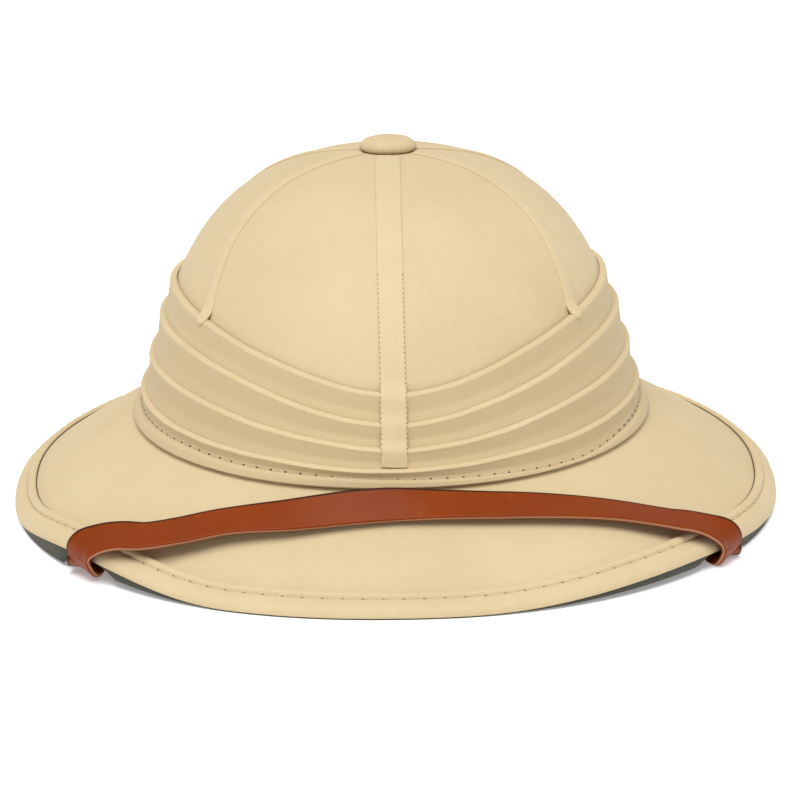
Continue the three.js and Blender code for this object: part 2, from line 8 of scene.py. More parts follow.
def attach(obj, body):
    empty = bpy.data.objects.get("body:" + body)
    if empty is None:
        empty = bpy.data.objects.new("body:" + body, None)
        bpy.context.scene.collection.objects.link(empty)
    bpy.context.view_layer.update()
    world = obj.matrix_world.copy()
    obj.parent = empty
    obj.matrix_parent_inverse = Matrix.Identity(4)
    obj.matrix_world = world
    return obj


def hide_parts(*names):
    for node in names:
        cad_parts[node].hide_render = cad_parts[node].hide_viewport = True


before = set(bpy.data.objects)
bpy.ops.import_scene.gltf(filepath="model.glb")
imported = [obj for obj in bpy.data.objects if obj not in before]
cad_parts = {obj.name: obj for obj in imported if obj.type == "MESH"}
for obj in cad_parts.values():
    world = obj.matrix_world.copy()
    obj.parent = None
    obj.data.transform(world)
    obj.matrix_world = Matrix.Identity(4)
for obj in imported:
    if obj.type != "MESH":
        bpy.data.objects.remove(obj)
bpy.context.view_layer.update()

# Photograph's view
# A long lens looks down a little at the front, with the helmet's axis just left of the middle.
view_target = Vector((0, -0.0033, 0.060))
view_distance = 1.5
view_elevation = math.radians(14)
view_swing = math.radians(0.15)
view_roll = math.radians(-0.7)
photo_width = 800
focal_pixels = 3803
target_right = -6.2  # where the target lies in the photo, in pixels from its middle
target_up = 64.5

camera_data = bpy.data.cameras.new("camera")
camera_data.sensor_width = 36
camera_data.lens = focal_pixels / photo_width * camera_data.sensor_width
camera_data.shift_x = -target_right / photo_width
camera_data.shift_y = -target_up / photo_width
camera = bpy.data.objects.new("camera", camera_data)
bpy.context.scene.collection.objects.link(camera)
camera_back = Vector((
    math.sin(view_swing) * math.cos(view_elevation),
    -math.cos(view_swing) * math.cos(view_elevation),
    math.sin(view_elevation),
))
camera.matrix_world = (
    Matrix.Translation(view_target + view_distance * camera_back)
    @ camera_back.to_track_quat("Z", "Y").to_matrix().to_4x4()
    @ Matrix.Rotation(view_roll, 4, "Z")
)
bpy.context.scene.camera = camera

# Helmet shell
# The dome and brim are pressed in one from pith about 3 mm thick, and khaki cotton is stretched and
# glued over them: six straight-grained gores on the dome and one ring on the brim.
brim_half_width = 0.150
brim_front_reach = 0.176
brim_back_reach = 0.1826
front_roundness = 2.19
back_roundness = 1.98
side_rim_lift = 0.0004
# Where the rim waves up off the floor: lift is how far, top how many degrees from the side its
# highest point lies, and run how many degrees it goes on to either side
rim_waves = {
    "front left": {"lift": 0.0049, "top": 44, "run": 36},
    "front right": {"lift": 0.0069, "top": 40, "run": 27},
    "back": {"lift": 0.0008, "top": 45, "run": 45},
}
crown_half_width = 0.0994
crown_half_length = 0.1192
crown_roundness = 2.12
crown_base = 0.033
crown_rise = 0.1018
crown_base_dip = 0.0012
crown_axis_x = -0.0014
crown_axis_y = (brim_front_reach - brim_back_reach) / 2
crown_handles = np.array([(1, 0), (0.868, 0.285), (0.907, 1), (0, 1)])
shell_wall = 0.003
touch_gap = 0.0003
binding_thickness = 0.001
rim_band_front = {"inset": 0.0055, "rise": 0.0059}
rim_band_side = {"inset": 0.0039, "rise": 0.0072}
rim_face_height = 0.0018
rim_lip = 0.001
rim_foot = 0.0016
ridge_width = 0.0035
brim_crowning = 0.0008
gore_seams = np.radians([-90, -36, 36, 90, 144, 216])
crown_rows = 54
brim_rows = 14
shell_steps = 288


def oval_radius(angle, power):
    return (np.abs(np.cos(angle)) ** power + np.abs(np.sin(angle)) ** power) ** (-1 / power)


def crown_profile(share):
    """Half width and height along the dome's side curve, as shares, and the curve's direction."""
    t = np.asarray(share, float)[..., None]
    a, b, c, d = crown_handles
    place = (1 - t) ** 3 * a + 3 * (1 - t) ** 2 * t * b + 3 * (1 - t) * t**2 * c + t**3 * d
    slope = (1 - t) ** 2 * (b - a) + 2 * (1 - t) * t * (c - b) + t**2 * (d - c)
    return place, slope


def crown_point(angle, share, out=0.0):
    """A point of the dome. share runs from the brim to the top, out is square to the surface."""
    angle, share, out = np.broadcast_arrays(angle, share, out)
    place, slope = crown_profile(share)
    rise = slope[..., 1] * crown_rise
    run = -slope[..., 0] * crown_half_width
    steep = np.hypot(rise, run)
    radius = oval_radius(angle, 2 + (crown_roundness - 2) * (1 - share))
    half_width = place[..., 0] * crown_half_width + out * rise / steep
    half_length = place[..., 0] * crown_half_length + out * rise / steep
    dip = crown_base_dip * np.sin(angle) ** 2 * (1 - place[..., 1])
    level = crown_base + place[..., 1] * crown_rise + out * run / steep - dip
    x = half_width * radius * np.cos(angle) + crown_axis_x
    y = half_length * radius * np.sin(angle) + crown_axis_y
    return np.stack([x, y, level], axis=-1)


def share_at_height(height_share):
    """Share along the dome's side curve at a height given as a share of its rise."""
    shares = np.linspace(0, 1, 2001)
    return np.interp(height_share, crown_profile(shares)[0][:, 1], shares)


def mix(a, b, share):
    return a + (b - a) * share


def lifted(q, z, slope, distance):
    return q + distance * np.sin(slope), z + distance * np.cos(slope)


def rim_height(angle):
    """Height of the rim's lowest line above the floor."""
    ahead, left = np.sin(angle) < 0, np.cos(angle) > 0
    quarters = {"front left": ahead & left, "front right": ahead & ~left, "back": ~ahead}
    from_side = np.degrees(np.arctan2(np.abs(np.sin(angle)), np.abs(np.cos(angle))))
    height = side_rim_lift * np.cos(angle) ** 2
    for name, here in quarters.items():
        wave = rim_waves[name]
        away = np.minimum(1, np.abs(from_side - wave["top"]) / wave["run"])
        height = height + here * wave["lift"] * np.cos(away * math.pi / 2) ** 2
    return height


class Brim:
    """Upright sections of the brim at some angles. q is the distance out from the dome's foot."""

    def __init__(self, angle):
        self.angle = np.asarray(angle, float)
        self.foot = crown_point(self.angle, 0.0)
        ahead = np.sin(self.angle) < 0
        radius = oval_radius(self.angle, np.where(ahead, front_roundness, back_roundness))
        reach = np.where(ahead, brim_front_reach, brim_back_reach)
        edge_x = brim_half_width * radius * np.cos(self.angle)
        edge_y = reach * radius * np.sin(self.angle) + crown_axis_y
        outward = np.stack([edge_x - self.foot[..., 0], edge_y - self.foot[..., 1]], axis=-1)
        self.width = np.linalg.norm(outward, axis=-1)
        self.outward = outward / self.width[..., None]
        side = np.cos(self.angle) ** 2
        band_inset = mix(rim_band_front["inset"], rim_band_side["inset"], side)
        band_rise = mix(rim_band_front["rise"], rim_band_side["rise"], side)
        self.low = rim_height(self.angle)
        cover = binding_thickness + touch_gap
        self.end = (self.width - cover, self.low + rim_lip + touch_gap + rim_face_height)
        self.stitch = (self.width - band_inset - cover, self.low + band_rise - cover / 2)
        fall = np.arctan2(self.stitch[1] - self.end[1], self.end[0] - self.stitch[0])
        self.band_slope = fall
        self.ridge_slope = 0.6 * fall
        self.ridge = (
            self.stitch[0] - ridge_width * np.cos(self.ridge_slope),
            self.stitch[1] + ridge_width * np.sin(self.ridge_slope),
        )
        self.slope = np.arctan2(self.foot[..., 2] - self.ridge[1], self.ridge[0])
        self.stitch_slope = (self.ridge_slope + self.band_slope) / 2

    def at(self, q, z):
        flat = self.foot[..., :2] + self.outward * np.asarray(q)[..., None]
        return np.concatenate([flat, np.broadcast_to(z, self.width.shape)[..., None]], axis=-1)

    def main_face(self, share, out):
        bulge = brim_crowning * math.sin(share * math.pi)
        z = mix(self.foot[..., 2], self.ridge[1], share) + bulge
        return self.at(*lifted(self.ridge[0] * share, z, self.slope, out))

    def ramp(self, start, stop, share, slope, out):
        return self.at(*lifted(mix(start[0], stop[0], share), mix(start[1], stop[1], share), slope, out))


def around(count):
    """Angles all the way round, the first and last alike, so that a mesh's map has no torn seam."""
    return np.linspace(0, 2 * math.pi, count + 1) + math.pi / count


def run_length(points):
    """Length along rows of points, from the first."""
    stride = np.linalg.norm(np.diff(points, axis=0), axis=-1)
    return np.concatenate([np.zeros((1,) + stride.shape[1:]), np.cumsum(stride, axis=0)])


def skin(name, rows, places, join_rows=False, join_columns=True, caps=False):
    """A mesh over a grid of points. Rows joined to themselves hold their first point again at the end.
    places is the cloth's flat map, in metres, for each point of the grid."""
    rows = np.asarray(rows, float)
    places = np.asarray(places, float)
    tall, wide = rows.shape[:2]
    ring = wide - 1 if join_columns else wide
    points = rows[:, :ring].reshape(-1, 3)
    j, i = np.meshgrid(np.arange(tall if join_rows else tall - 1), np.arange(wide - 1), indexing="ij")
    j, i = j.ravel(), i.ravel()
    up, along = (j + 1) % tall, (i + 1) % ring
    faces = np.stack([j * ring + i, j * ring + along, up * ring + along, up * ring + i], axis=1)
    flat = np.stack([places[j, i], places[j, i + 1], places[up, i + 1], places[up, i]], axis=1)
    faces = faces.tolist()
    flat = flat.reshape(-1, 2).tolist()
    if caps:
        faces += [list(range(ring))[::-1], [(tall - 1) * ring + k for k in range(ring)]]
        flat += places[0, :ring][::-1].tolist() + places[-1, :ring].tolist()
    mesh = bpy.data.meshes.new(name)
    mesh.from_pydata(points.tolist(), [], faces)
    mesh.uv_layers.new(name="cloth").data.foreach_set("uv", np.array(flat).ravel())
    mesh.validate()
    mesh.shade_smooth()
    return finished(name, mesh)


def finished(name, mesh):
    """Faces a closed mesh outward and places it in the scene."""
    piece = bpy.data.objects.new(name, mesh)
    bpy.context.scene.collection.objects.link(piece)
    corners = np.array([v.co for v in mesh.vertices])
    mesh.calc_loop_triangles()
    triangles = corners[np.array([t.vertices for t in mesh.loop_triangles])]
    volume = np.einsum("ij,ij->i", triangles[:, 0], np.cross(triangles[:, 1], triangles[:, 2])).sum()
    if volume < 0:
        mesh.flip_normals()
    return piece


def settle(piece, material, slot, *nodes):
    """Gives a piece its finish and its place on the helmet, and hides the CAD nodes that it stands for."""
    piece.data.materials.append(material)
    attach(piece, "root")
    if nodes:
        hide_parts(*nodes)
    return piece


def add_node(tree, kind, inputs=None, **settings):
    made = tree.nodes.new(kind)
    for name, value in settings.items():
        setattr(made, name, value)
    for key, value in (inputs or {}).items():
        if isinstance(value, bpy.types.NodeSocket):
            tree.links.new(value, made.inputs[key])
        else:
            made.inputs[key].default_value = value
    return made


def calculate(tree, operation, *values):
    return add_node(tree, "ShaderNodeMath", dict(enumerate(values)), operation=operation).outputs[0]


def new_group(name, takes, gives):
    """An empty shader group. takes and gives are rows of socket name, kind and, for takes, default."""
    tree = bpy.data.node_groups.new(name, "ShaderNodeTree")
    for label, kind, value in takes:
        socket = tree.interface.new_socket(label, in_out="INPUT", socket_type="NodeSocket" + kind)
        if value is not None:
            socket.default_value = value
    for label, kind in gives:
        tree.interface.new_socket(label, in_out="OUTPUT", socket_type="NodeSocket" + kind)
    return tree, tree.nodes.new("NodeGroupInput").outputs, tree.nodes.new("NodeGroupOutput").inputs


def plain_weave_group():
    """Threads over and under each other. Place is the cloth's flat map in metres."""
    takes = [("Place", "Vector", None), ("Thread", "Float", 0.0006), ("Slub", "Float", 0.3)]
    tree, given, result = new_group("plain weave", takes, [("Height", "Float"), ("Shade", "Float")])
    wander = add_node(tree, "ShaderNodeTexNoise", {"Vector": given["Place"], "Scale": 90.0, "Detail": 2.0})
    drift = calculate(tree, "MULTIPLY", wander.outputs["Fac"], 0.0012)
    parts = add_node(tree, "ShaderNodeSeparateXYZ", {0: given["Place"]})
    across = calculate(tree, "DIVIDE", calculate(tree, "ADD", parts.outputs[0], drift), given["Thread"])
    along = calculate(tree, "DIVIDE", calculate(tree, "ADD", parts.outputs[1], drift), given["Thread"])
    cells = calculate(tree, "ADD", calculate(tree, "FLOOR", across), calculate(tree, "FLOOR", along))
    over = calculate(tree, "FLOORED_MODULO", cells, 2.0)
    warp = calculate(tree, "ABSOLUTE", calculate(tree, "SINE", calculate(tree, "MULTIPLY", across, math.pi)))
    weft = calculate(tree, "ABSOLUTE", calculate(tree, "SINE", calculate(tree, "MULTIPLY", along, math.pi)))
    warp_up = calculate(tree, "MULTIPLY", warp, calculate(tree, "MULTIPLY_ADD", weft, 0.4, 0.6))
    weft_up = calculate(tree, "MULTIPLY", weft, calculate(tree, "MULTIPLY_ADD", warp, 0.4, 0.6))
    height = add_node(tree, "ShaderNodeMix", {0: over, 2: weft_up, 3: warp_up}, data_type="FLOAT")
    slub_scale = add_node(
        tree, "ShaderNodeVectorMath", {0: given["Place"], 1: (1600, 120, 1)}, operation="MULTIPLY",
    )
    slub = add_node(
        tree, "ShaderNodeTexNoise", {"Vector": slub_scale.outputs[0], "Scale": 1.0, "Detail": 1.0},
    )
    thickness = calculate(tree, "SUBTRACT", slub.outputs["Fac"], 0.5)
    slubbed = calculate(tree, "MULTIPLY", thickness, given["Slub"])
    tree.links.new(height.outputs[0], result["Height"])
    tree.links.new(calculate(tree, "ADD", height.outputs[0], slubbed), result["Shade"])
    return tree


def cloth_tone_group():
    """Large soft clouding and small flecks of a dyed cotton."""
    takes = [
        ("Base", "Color", (0.5, 0.5, 0.5, 1)),
        ("Deep", "Color", (0.4, 0.4, 0.4, 1)),
        ("Weave", "Float", 0.5),
        ("Clouding", "Float", 0.3),
        ("Weave shade", "Float", 0.14),
    ]
    tree, given, result = new_group("cloth tone", takes, [("Color", "Color"), ("Cloud", "Float")])
    place = add_node(tree, "ShaderNodeTexCoord").outputs["Object"]
    cloud = add_node(tree, "ShaderNodeTexNoise", {"Vector": place, "Scale": 24.0, "Detail": 4.0})
    fleck = add_node(tree, "ShaderNodeTexNoise", {"Vector": place, "Scale": 420.0, "Detail": 2.0})
    clouded = calculate(tree, "MULTIPLY", cloud.outputs["Fac"], given["Clouding"])
    fleck_depth = calculate(tree, "MULTIPLY", given["Clouding"], 0.5)
    flecked = calculate(tree, "MULTIPLY", fleck.outputs["Fac"], fleck_depth)
    hollow = calculate(tree, "SUBTRACT", 1.0, given["Weave"])
    woven = calculate(tree, "MULTIPLY", hollow, given["Weave shade"])
    depth = calculate(tree, "ADD", calculate(tree, "ADD", clouded, flecked), woven)
    tone = add_node(
        tree, "ShaderNodeMix", {0: depth, 6: given["Base"], 7: given["Deep"]}, data_type="RGBA",
    )
    tree.links.new(tone.outputs[2], result["Color"])
    tree.links.new(cloud.outputs["Fac"], result["Cloud"])
    return tree


plain_weave = plain_weave_group()
cloth_tone = cloth_tone_group()


def cloth_material(name, base, deep, weave_height=0.00002, clouding=0.8, sheen=0.12, face=None):
    """Plain-woven cotton. face, if given, is a painted shade colour: the cloth darkens to it going down a
    roll's face from the top edge.
    """
    material = bpy.data.materials.new(name)
    material.use_nodes = True
    tree = material.node_tree
    shader = tree.nodes["Principled BSDF"]
    flat_map = add_node(tree, "ShaderNodeUVMap", uv_map="cloth").outputs[0]
    weave = add_node(tree, "ShaderNodeGroup", node_tree=plain_weave)
    tree.links.new(flat_map, weave.inputs["Place"])
    weave.inputs["Thread"].default_value = 0.0005
    tone = add_node(tree, "ShaderNodeGroup", node_tree=cloth_tone)
    tone.inputs["Base"].default_value = (*base, 1)
    tone.inputs["Deep"].default_value = (*deep, 1)
    tone.inputs["Clouding"].default_value = clouding
    tree.links.new(weave.outputs["Shade"], tone.inputs["Weave"])
    rough = add_node(tree, "ShaderNodeMapRange", {0: tone.outputs["Cloud"], 3: 0.82, 4: 0.95})
    weave_bump = {"Height": weave.outputs["Height"], "Distance": weave_height, "Strength": 1.0}
    bump = add_node(tree, "ShaderNodeBump", weave_bump)
    colour = tone.outputs["Color"]
    # Painted shade: down a roll's face, away from its top edge, the colour darkens towards face, where the
    # face turns down away from the light
    if face:
        down = add_node(tree, "ShaderNodeSeparateXYZ", {"Vector": flat_map}).outputs["Y"]
        shade = add_node(tree, "ShaderNodeMapRange", {0: down, 1: 0.0032, 2: 0.0062, 3: 0.0, 4: 0.85})
        mixed = add_node(
            tree, "ShaderNodeMix", {0: shade.outputs[0], 6: colour, 7: (*face, 1)}, data_type="RGBA",
        )
        colour = mixed.outputs[2]
    tree.links.new(colour, shader.inputs["Base Color"])
    tree.links.new(rough.outputs[0], shader.inputs["Roughness"])
    tree.links.new(bump.outputs[0], shader.inputs["Normal"])
    shader.inputs["Specular IOR Level"].default_value = 0.25
    shader.inputs["Sheen Weight"].default_value = sheen
    shader.inputs["Sheen Roughness"].default_value = 0.6
    shader.inputs["Sheen Tint"].default_value = (1.0, 0.97, 0.88, 1)
    return material


khaki_base = (0.655, 0.53, 0.325)
khaki_deep = (0.54, 0.42, 0.235)
khaki_cloth = cloth_material("khaki cotton", khaki_base, khaki_deep)
# The pleats' cloth carries painted shade on the faces below each roll's top edge
band_cloth_painted_shade = cloth_material("band cotton with painted shade", khaki_base, khaki_deep, face=(0.53, 0.41, 0.23))

shell_angles = around(shell_steps)
shell_brim = Brim(shell_angles)
outer_shares = np.linspace(1, 0, crown_rows) ** 1.15
inner_shares = np.linspace(0.01, 1, crown_rows // 2)
brim_shares = np.linspace(0, 1, brim_rows)
dome_outer = [crown_point(shell_angles, share) for share in outer_shares[1:-1]]
dome_inner = [crown_point(shell_angles, share, -shell_wall) for share in inner_shares[:-1]]
corner_drop = shell_wall * (1 - np.sin(shell_brim.slope)) / np.cos(shell_brim.slope)
shell_rows = [
    np.broadcast_to(crown_point(0.0, 0.9999), shell_angles.shape + (3,)),
    *dome_outer,
    *[shell_brim.main_face(share, 0) for share in brim_shares],
    shell_brim.at(*shell_brim.stitch),
    shell_brim.at(*shell_brim.end),
    shell_brim.at(shell_brim.end[0], shell_brim.end[1] - rim_face_height),
    shell_brim.at(*lifted(*shell_brim.stitch, shell_brim.stitch_slope, -shell_wall)),
    *[shell_brim.main_face(share, -shell_wall) for share in brim_shares[:0:-2]],
    shell_brim.at(-shell_wall, shell_brim.foot[..., 2] - corner_drop),
    *dome_inner,
    np.broadcast_to(crown_point(0.0, 0.9999, -shell_wall), shell_angles.shape + (3,)),
]
shell_rows = np.array(shell_rows)


def gore_map(points, angle):
    """Flat map of six gores, each with its grain along its own middle."""
    seams = np.append(gore_seams, gore_seams[0] + 2 * math.pi)
    middles = (seams[:-1] + seams[1:]) / 2
    turn = (angle[None, :] - middles[:, None] + math.pi) % (2 * math.pi) - math.pi
    turn = turn[np.abs(turn).argmin(axis=0), np.arange(angle.size)]
    radius = np.hypot(points[..., 0], points[..., 1] - crown_axis_y)
    return np.stack([turn * radius, run_length(points)], axis=-1)


shell_map = gore_map(shell_rows, shell_angles)
brim_first = 1 + len(dome_outer)
brim_last = brim_first + len(brim_shares) + 8
shell_map[brim_first:brim_last] = shell_rows[brim_first:brim_last, :, :2]
shell = skin("shell_cloth", shell_rows, shell_map)
settle(shell, khaki_cloth, "cloth", "helmet_shell")

# Pleated band
# One long cotton cloth is folded into four rolls round the foot of the dome, highest at the sides,
# and glued down. Only the lowest roll is sewn through, close to its bottom edge.
pleat_overlap = 0.003
pleat_crest = 0.0026  # how far a roll stands out from the dome at most
pleat_valley = 0.0009  # and where it goes in behind the next one
roll_start = 0.0003
roll_drop = 0.0017  # distance from a roll's top down to its crest
lip_crest = 0.0024
fold_sweep = 1.4
fold_turn = math.radians(2.3)
fold_slant = 0.01
pleat_folds = [
    {"node": "pugaree_pleat_top", "front": 0.3235, "side": 0.529},
    {"node": "pugaree_pleat_upper", "front": 0.222, "side": 0.4065},
    {"node": "pugaree_pleat_lower", "front": 0.135, "side": 0.255},
    {"node": "pugaree_base_band", "front": 0.0646, "side": 0.116},
]
# Height of the sewn line above the foot of the lowest roll, at degrees from the front towards the
# wearer's left
sewn_heights = [
    {"angle": -180, "height": 0.0048},
    {"angle": -50, "height": 0.0048},
    {"angle": -34, "height": 0.0038},
    {"angle": -10, "height": 0.0036},
    {"angle": 4, "height": 0.0029},
    {"angle": 24, "height": 0.0022},
    {"angle": 36, "height": 0.0014},
    {"angle": 46, "height": 0.0013},
    {"angle": 60, "height": 0.0036},
    {"angle": 75, "height": 0.0050},
    {"angle": 180, "height": 0.0048},
]
pleat_steps = 400


def fold_height(fold, angle):
    aside = np.abs(np.cos(angle - fold_turn))
    sweep = (aside**fold_sweep + aside**2 * (3 - 2 * aside)) / 2
    return mix(fold["front"], fold["side"], sweep) + fold_slant * np.cos(angle)


def sewn_height(angle):
    from_front = (np.degrees(angle) + 270) % 360 - 180
    heights = np.interp(from_front, [r["angle"] for r in sewn_heights], [r["height"] for r in sewn_heights])
    return heights / crown_rise


def waver(angle, seed, size):
    """Slow unevenness of hand-laid cloth."""
    waves = [(3, 0.5), (7, 0.3), (13, 0.2), (29, 0.1)]
    return size * sum(part * np.sin(turns * angle + seed * (turns + 1.7)) for turns, part in waves)


def pleat(number):
    """A roll: round over its top, then a face that goes in behind the next roll or down to the sewn line."""
    angle = around(pleat_steps)
    lowest = number + 1 == len(pleat_folds)
    top = fold_height(pleat_folds[number], angle) + waver(angle, number + 1, 0.0004 / crown_rise)
    bottom = sewn_height(angle) if lowest else fold_height(pleat_folds[number + 1], angle)
    foot = np.zeros_like(angle) if lowest else bottom - pleat_overlap / crown_rise
    swell = waver(angle, number + 5, 0.00015)

    def at(height, out):
        return crown_point(angle, share_at_height(np.maximum(height, 0)), out)

    crest = top - roll_drop / crown_rise
    rows = [
        at(mix(top, crest, 1 - math.cos(turn)), mix(roll_start, pleat_crest, math.sin(turn)) + swell)
        for turn in np.linspace(0, math.pi / 2, 9)
    ]
    rows += [
        at(mix(crest, bottom, share), mix(pleat_crest, pleat_valley, min(1, 1.6 * share) ** 0.75) + swell)
        for share in np.linspace(0, 1, 21)[1:] ** 1.2
    ]
    if lowest:
        rows += [
            at(mix(bottom, foot, share), mix(pleat_valley, lip_crest, math.sin(bend)))
            for share in np.linspace(0, 1, 10)[1:]
            for bend in [min(1, share * 2.2) * math.pi / 2]
        ]
    rows += [at(foot, roll_start * 0.8), at(foot, touch_gap / 2)]
    rows += [at(mix(top, foot, share), touch_gap / 2) for share in (0.7, 0.35)]
    rows += [at(mix(top, foot, 0.06), roll_start * 0.6)]
    rows = np.array(rows)
    length = angle * (crown_half_width + crown_half_length) / 2
    flat = np.stack(np.broadcast_arrays(length[None, :], run_length(rows)), axis=-1)
    piece = skin("cloth_" + pleat_folds[number]["node"], rows, flat, join_rows=True)
    return settle(piece, band_cloth_painted_shade, "cloth", pleat_folds[number]["node"])


for number in range(len(pleat_folds)):
    pleat(number)


# Stitches in the lowest roll
# A lockstitch in khaki thread, 6 mm long, pulls the cloth down at each needle hole.
def thread_material(name, colour, dark):
    material = bpy.data.materials.new(name)
    material.use_nodes = True
    tree = material.node_tree
    shader = tree.nodes["Principled BSDF"]
    place = add_node(tree, "ShaderNodeTexCoord").outputs["Object"]
    twist = add_node(
        tree,
        "ShaderNodeTexWave",
        {"Vector": place, "Scale": 900.0, "Distortion": 1.0},
        bands_direction="DIAGONAL",
    )
    tone = add_node(
        tree, "ShaderNodeMix", {0: twist.outputs["Fac"], 6: (*dark, 1), 7: (*colour, 1)}, data_type="RGBA",
    )
    twist_bump = {"Height": twist.outputs["Fac"], "Distance": 0.00008, "Strength": 0.8}
    bump = add_node(tree, "ShaderNodeBump", twist_bump)
    tree.links.new(tone.outputs[2], shader.inputs["Base Color"])
    tree.links.new(bump.outputs[0], shader.inputs["Normal"])
    shader.inputs["Roughness"].default_value = 0.7
    shader.inputs["Sheen Weight"].default_value = 0.2
    return material


khaki_thread = thread_material("khaki thread", (0.60, 0.46, 0.25), (0.42, 0.31, 0.16))
# Dark brown beads of painted shade, for needle holes and for thread sunk deep in its groove
needle_hole_shade = thread_material("needle hole shade", (0.10, 0.065, 0.03), (0.05, 0.033, 0.015))
# Thread colour darkened as painted shade, for the dips that the ridge's stitches pull into the roll and for
# the tapes' needle holes
shadowed_thread = thread_material("shadowed thread", (0.30, 0.20, 0.10), (0.20, 0.13, 0.06))


def on_line(line, normals, distance):
    """Points, directions and normals at distances along a line."""
    length = run_length(line)
    point = np.stack([np.interp(distance, length, line[:, k]) for k in range(3)], axis=-1)
    ahead = np.stack([np.interp(distance + 0.0002, length, line[:, k]) for k in range(3)], axis=-1)
    behind = np.stack([np.interp(distance - 0.0002, length, line[:, k]) for k in range(3)], axis=-1)
    normal = np.stack([np.interp(distance, length, normals[:, k]) for k in range(3)], axis=-1)
    along = ahead - behind
    along /= np.linalg.norm(along, axis=-1)[..., None]
    normal -= (normal * along).sum(axis=-1)[..., None] * along
    normal /= np.linalg.norm(normal, axis=-1)[..., None]
    return point, along, normal


def beads(name, line, normals, centres, length, width, height, sunk, rings=6, sides=8, sway=0.0):
    """Many small rounded bars along a line, as one mesh: stitches when long, needle holes when short.
    height bows their middles up off the cloth, and sway bows them sideways."""
    points, faces = [], []
    turns = np.arange(sides) / sides * 2 * math.pi
    for centre in centres:
        start = len(points)
        shares = np.linspace(-1, 1, rings)
        point, along, normal = on_line(line, normals, centre + shares * length / 2)
        side = np.cross(along, normal)
        round_off = np.sqrt(np.maximum(1 - np.abs(shares) ** 3, 0.02))
        bow = height * (1 - shares**2) - sunk
        for k in range(rings):
            middle = point[k] + normal[k] * bow[k] + side[k] * sway * (1 - shares[k] ** 2)
            ring = (
                middle
                + np.cos(turns)[:, None] * side[k] * width / 2 * round_off[k]
                + np.sin(turns)[:, None] * normal[k] * width / 2 * round_off[k] * 0.8
            )
            points.extend(ring.tolist())
        for k in range(rings - 1):
            for m in range(sides):
                n = (m + 1) % sides
                a = start + k * sides
                faces.append((a + m, a + n, a + sides + n, a + sides + m))
        faces.append([start + m for m in range(sides)][::-1])
        faces.append([start + (rings - 1) * sides + m for m in range(sides)])
    mesh = bpy.data.meshes.new(name)
    mesh.from_pydata(points, [], faces)
    mesh.shade_smooth()
    return finished(name, mesh)


def sewn_line(name, line, normals, pitch, stitch, width, hole, slot, first=0.0):
    """A row of stitches, and dark beads of painted shade in the needle holes between them."""
    total = run_length(line)[-1]
    count = int((total - first) / pitch)
    centres = first + (np.arange(count) + 0.5) * pitch
    holes = first + np.arange(1, count) * pitch
    thread = beads(name, line, normals, centres, stitch, width, width * 0.3, width * 0.25)
    settle(thread, khaki_thread, slot)
    dots = beads(name + "_holes", line, normals, holes, hole, hole * 0.8, 0.0, hole * 0.28, rings=5)
    settle(dots, needle_hole_shade, slot)


line_angles = around(720)
base_share = share_at_height(sewn_height(line_angles))
base_line = crown_point(line_angles, base_share, pleat_valley + 0.0001)
base_normals = crown_point(line_angles, base_share, pleat_valley + 0.001) - base_line
base_pitch = 0.0061
sewn_line(
    "base_band_stitches", base_line, base_normals, base_pitch, stitch=0.0043, width=0.0006,
    hole=0.0019, slot="cloth",
)
# On the wearer's left the thread lies deep in its groove, and the shade there is painted as dark strokes
# between the holes
deep_from = run_length(base_line)[np.argmin(np.abs(line_angles - math.radians(300)))]
deep_to = run_length(base_line)[np.argmin(np.abs(line_angles - math.radians(345)))]
deep_centres = np.arange(deep_from, deep_to, base_pitch / 2)
groove_shade_strokes = beads(
    "base_band_groove_shade", base_line, base_normals, deep_centres,
    length=0.0024, width=0.0005, height=0.0001, sunk=0.00005, sway=0.0003,
)
settle(groove_shade_strokes, needle_hole_shade, "cloth")

# Brim binding
# A strip of the same cotton is folded over the edge of the brim. Its inner side is rolled into a
# ridge and sewn down just outside it, and each stitch pulls the roll into a small scallop.
ridge_height = 0.0013
ridge_pitch = 0.0073
ridge_scallop = 0.62
lip_shown = 0.0006  # how much of the facing's dark lip shows below the binding
binding_steps = 1160
# Ridge from its inner foot to the stitches: along is the share of its width, out of its height
ridge_roll = [
    {"along": -0.04, "out": 0.00},
    {"along": 0.04, "out": 0.42},
    {"along": 0.16, "out": 0.80},
    {"along": 0.32, "out": 0.98},
    {"along": 0.50, "out": 1.02},
    {"along": 0.68, "out": 0.95},
    {"along": 0.84, "out": 0.74},
    {"along": 0.95, "out": 0.44},
]


def even_angles(count):
    """Angles at even distances along the rim's line of stitches."""
    dense = np.linspace(0, 2 * math.pi, 4001)
    brim = Brim(dense)
    length = run_length(brim.at(*brim.stitch))
    return np.interp(np.linspace(0, length[-1], count + 1), length, dense), length[-1]


binding_angles, stitch_length = even_angles(binding_steps)
ridge_stitches = round(stitch_length / ridge_pitch)
binding_brim = Brim(binding_angles)
stitch_turns = np.linspace(0, ridge_stitches, binding_steps + 1)
pull = (0.5 + 0.5 * np.cos(2 * math.pi * stitch_turns)) ** 2
uneven = 1 + waver(binding_angles, 3, 0.25)
cover = binding_thickness + touch_gap


def on_ridge(along, out):
    near_stitch = max(0.0, along) ** 2
    height = out * (1 - ridge_scallop * pull * near_stitch) * uneven
    share = along + 0.10 * pull * near_stitch * -1
    return binding_brim.ramp(
        binding_brim.ridge,
        binding_brim.stitch,
        share,
        binding_brim.ridge_slope,
        touch_gap + binding_thickness * 0.3 + ridge_height * height,
    )


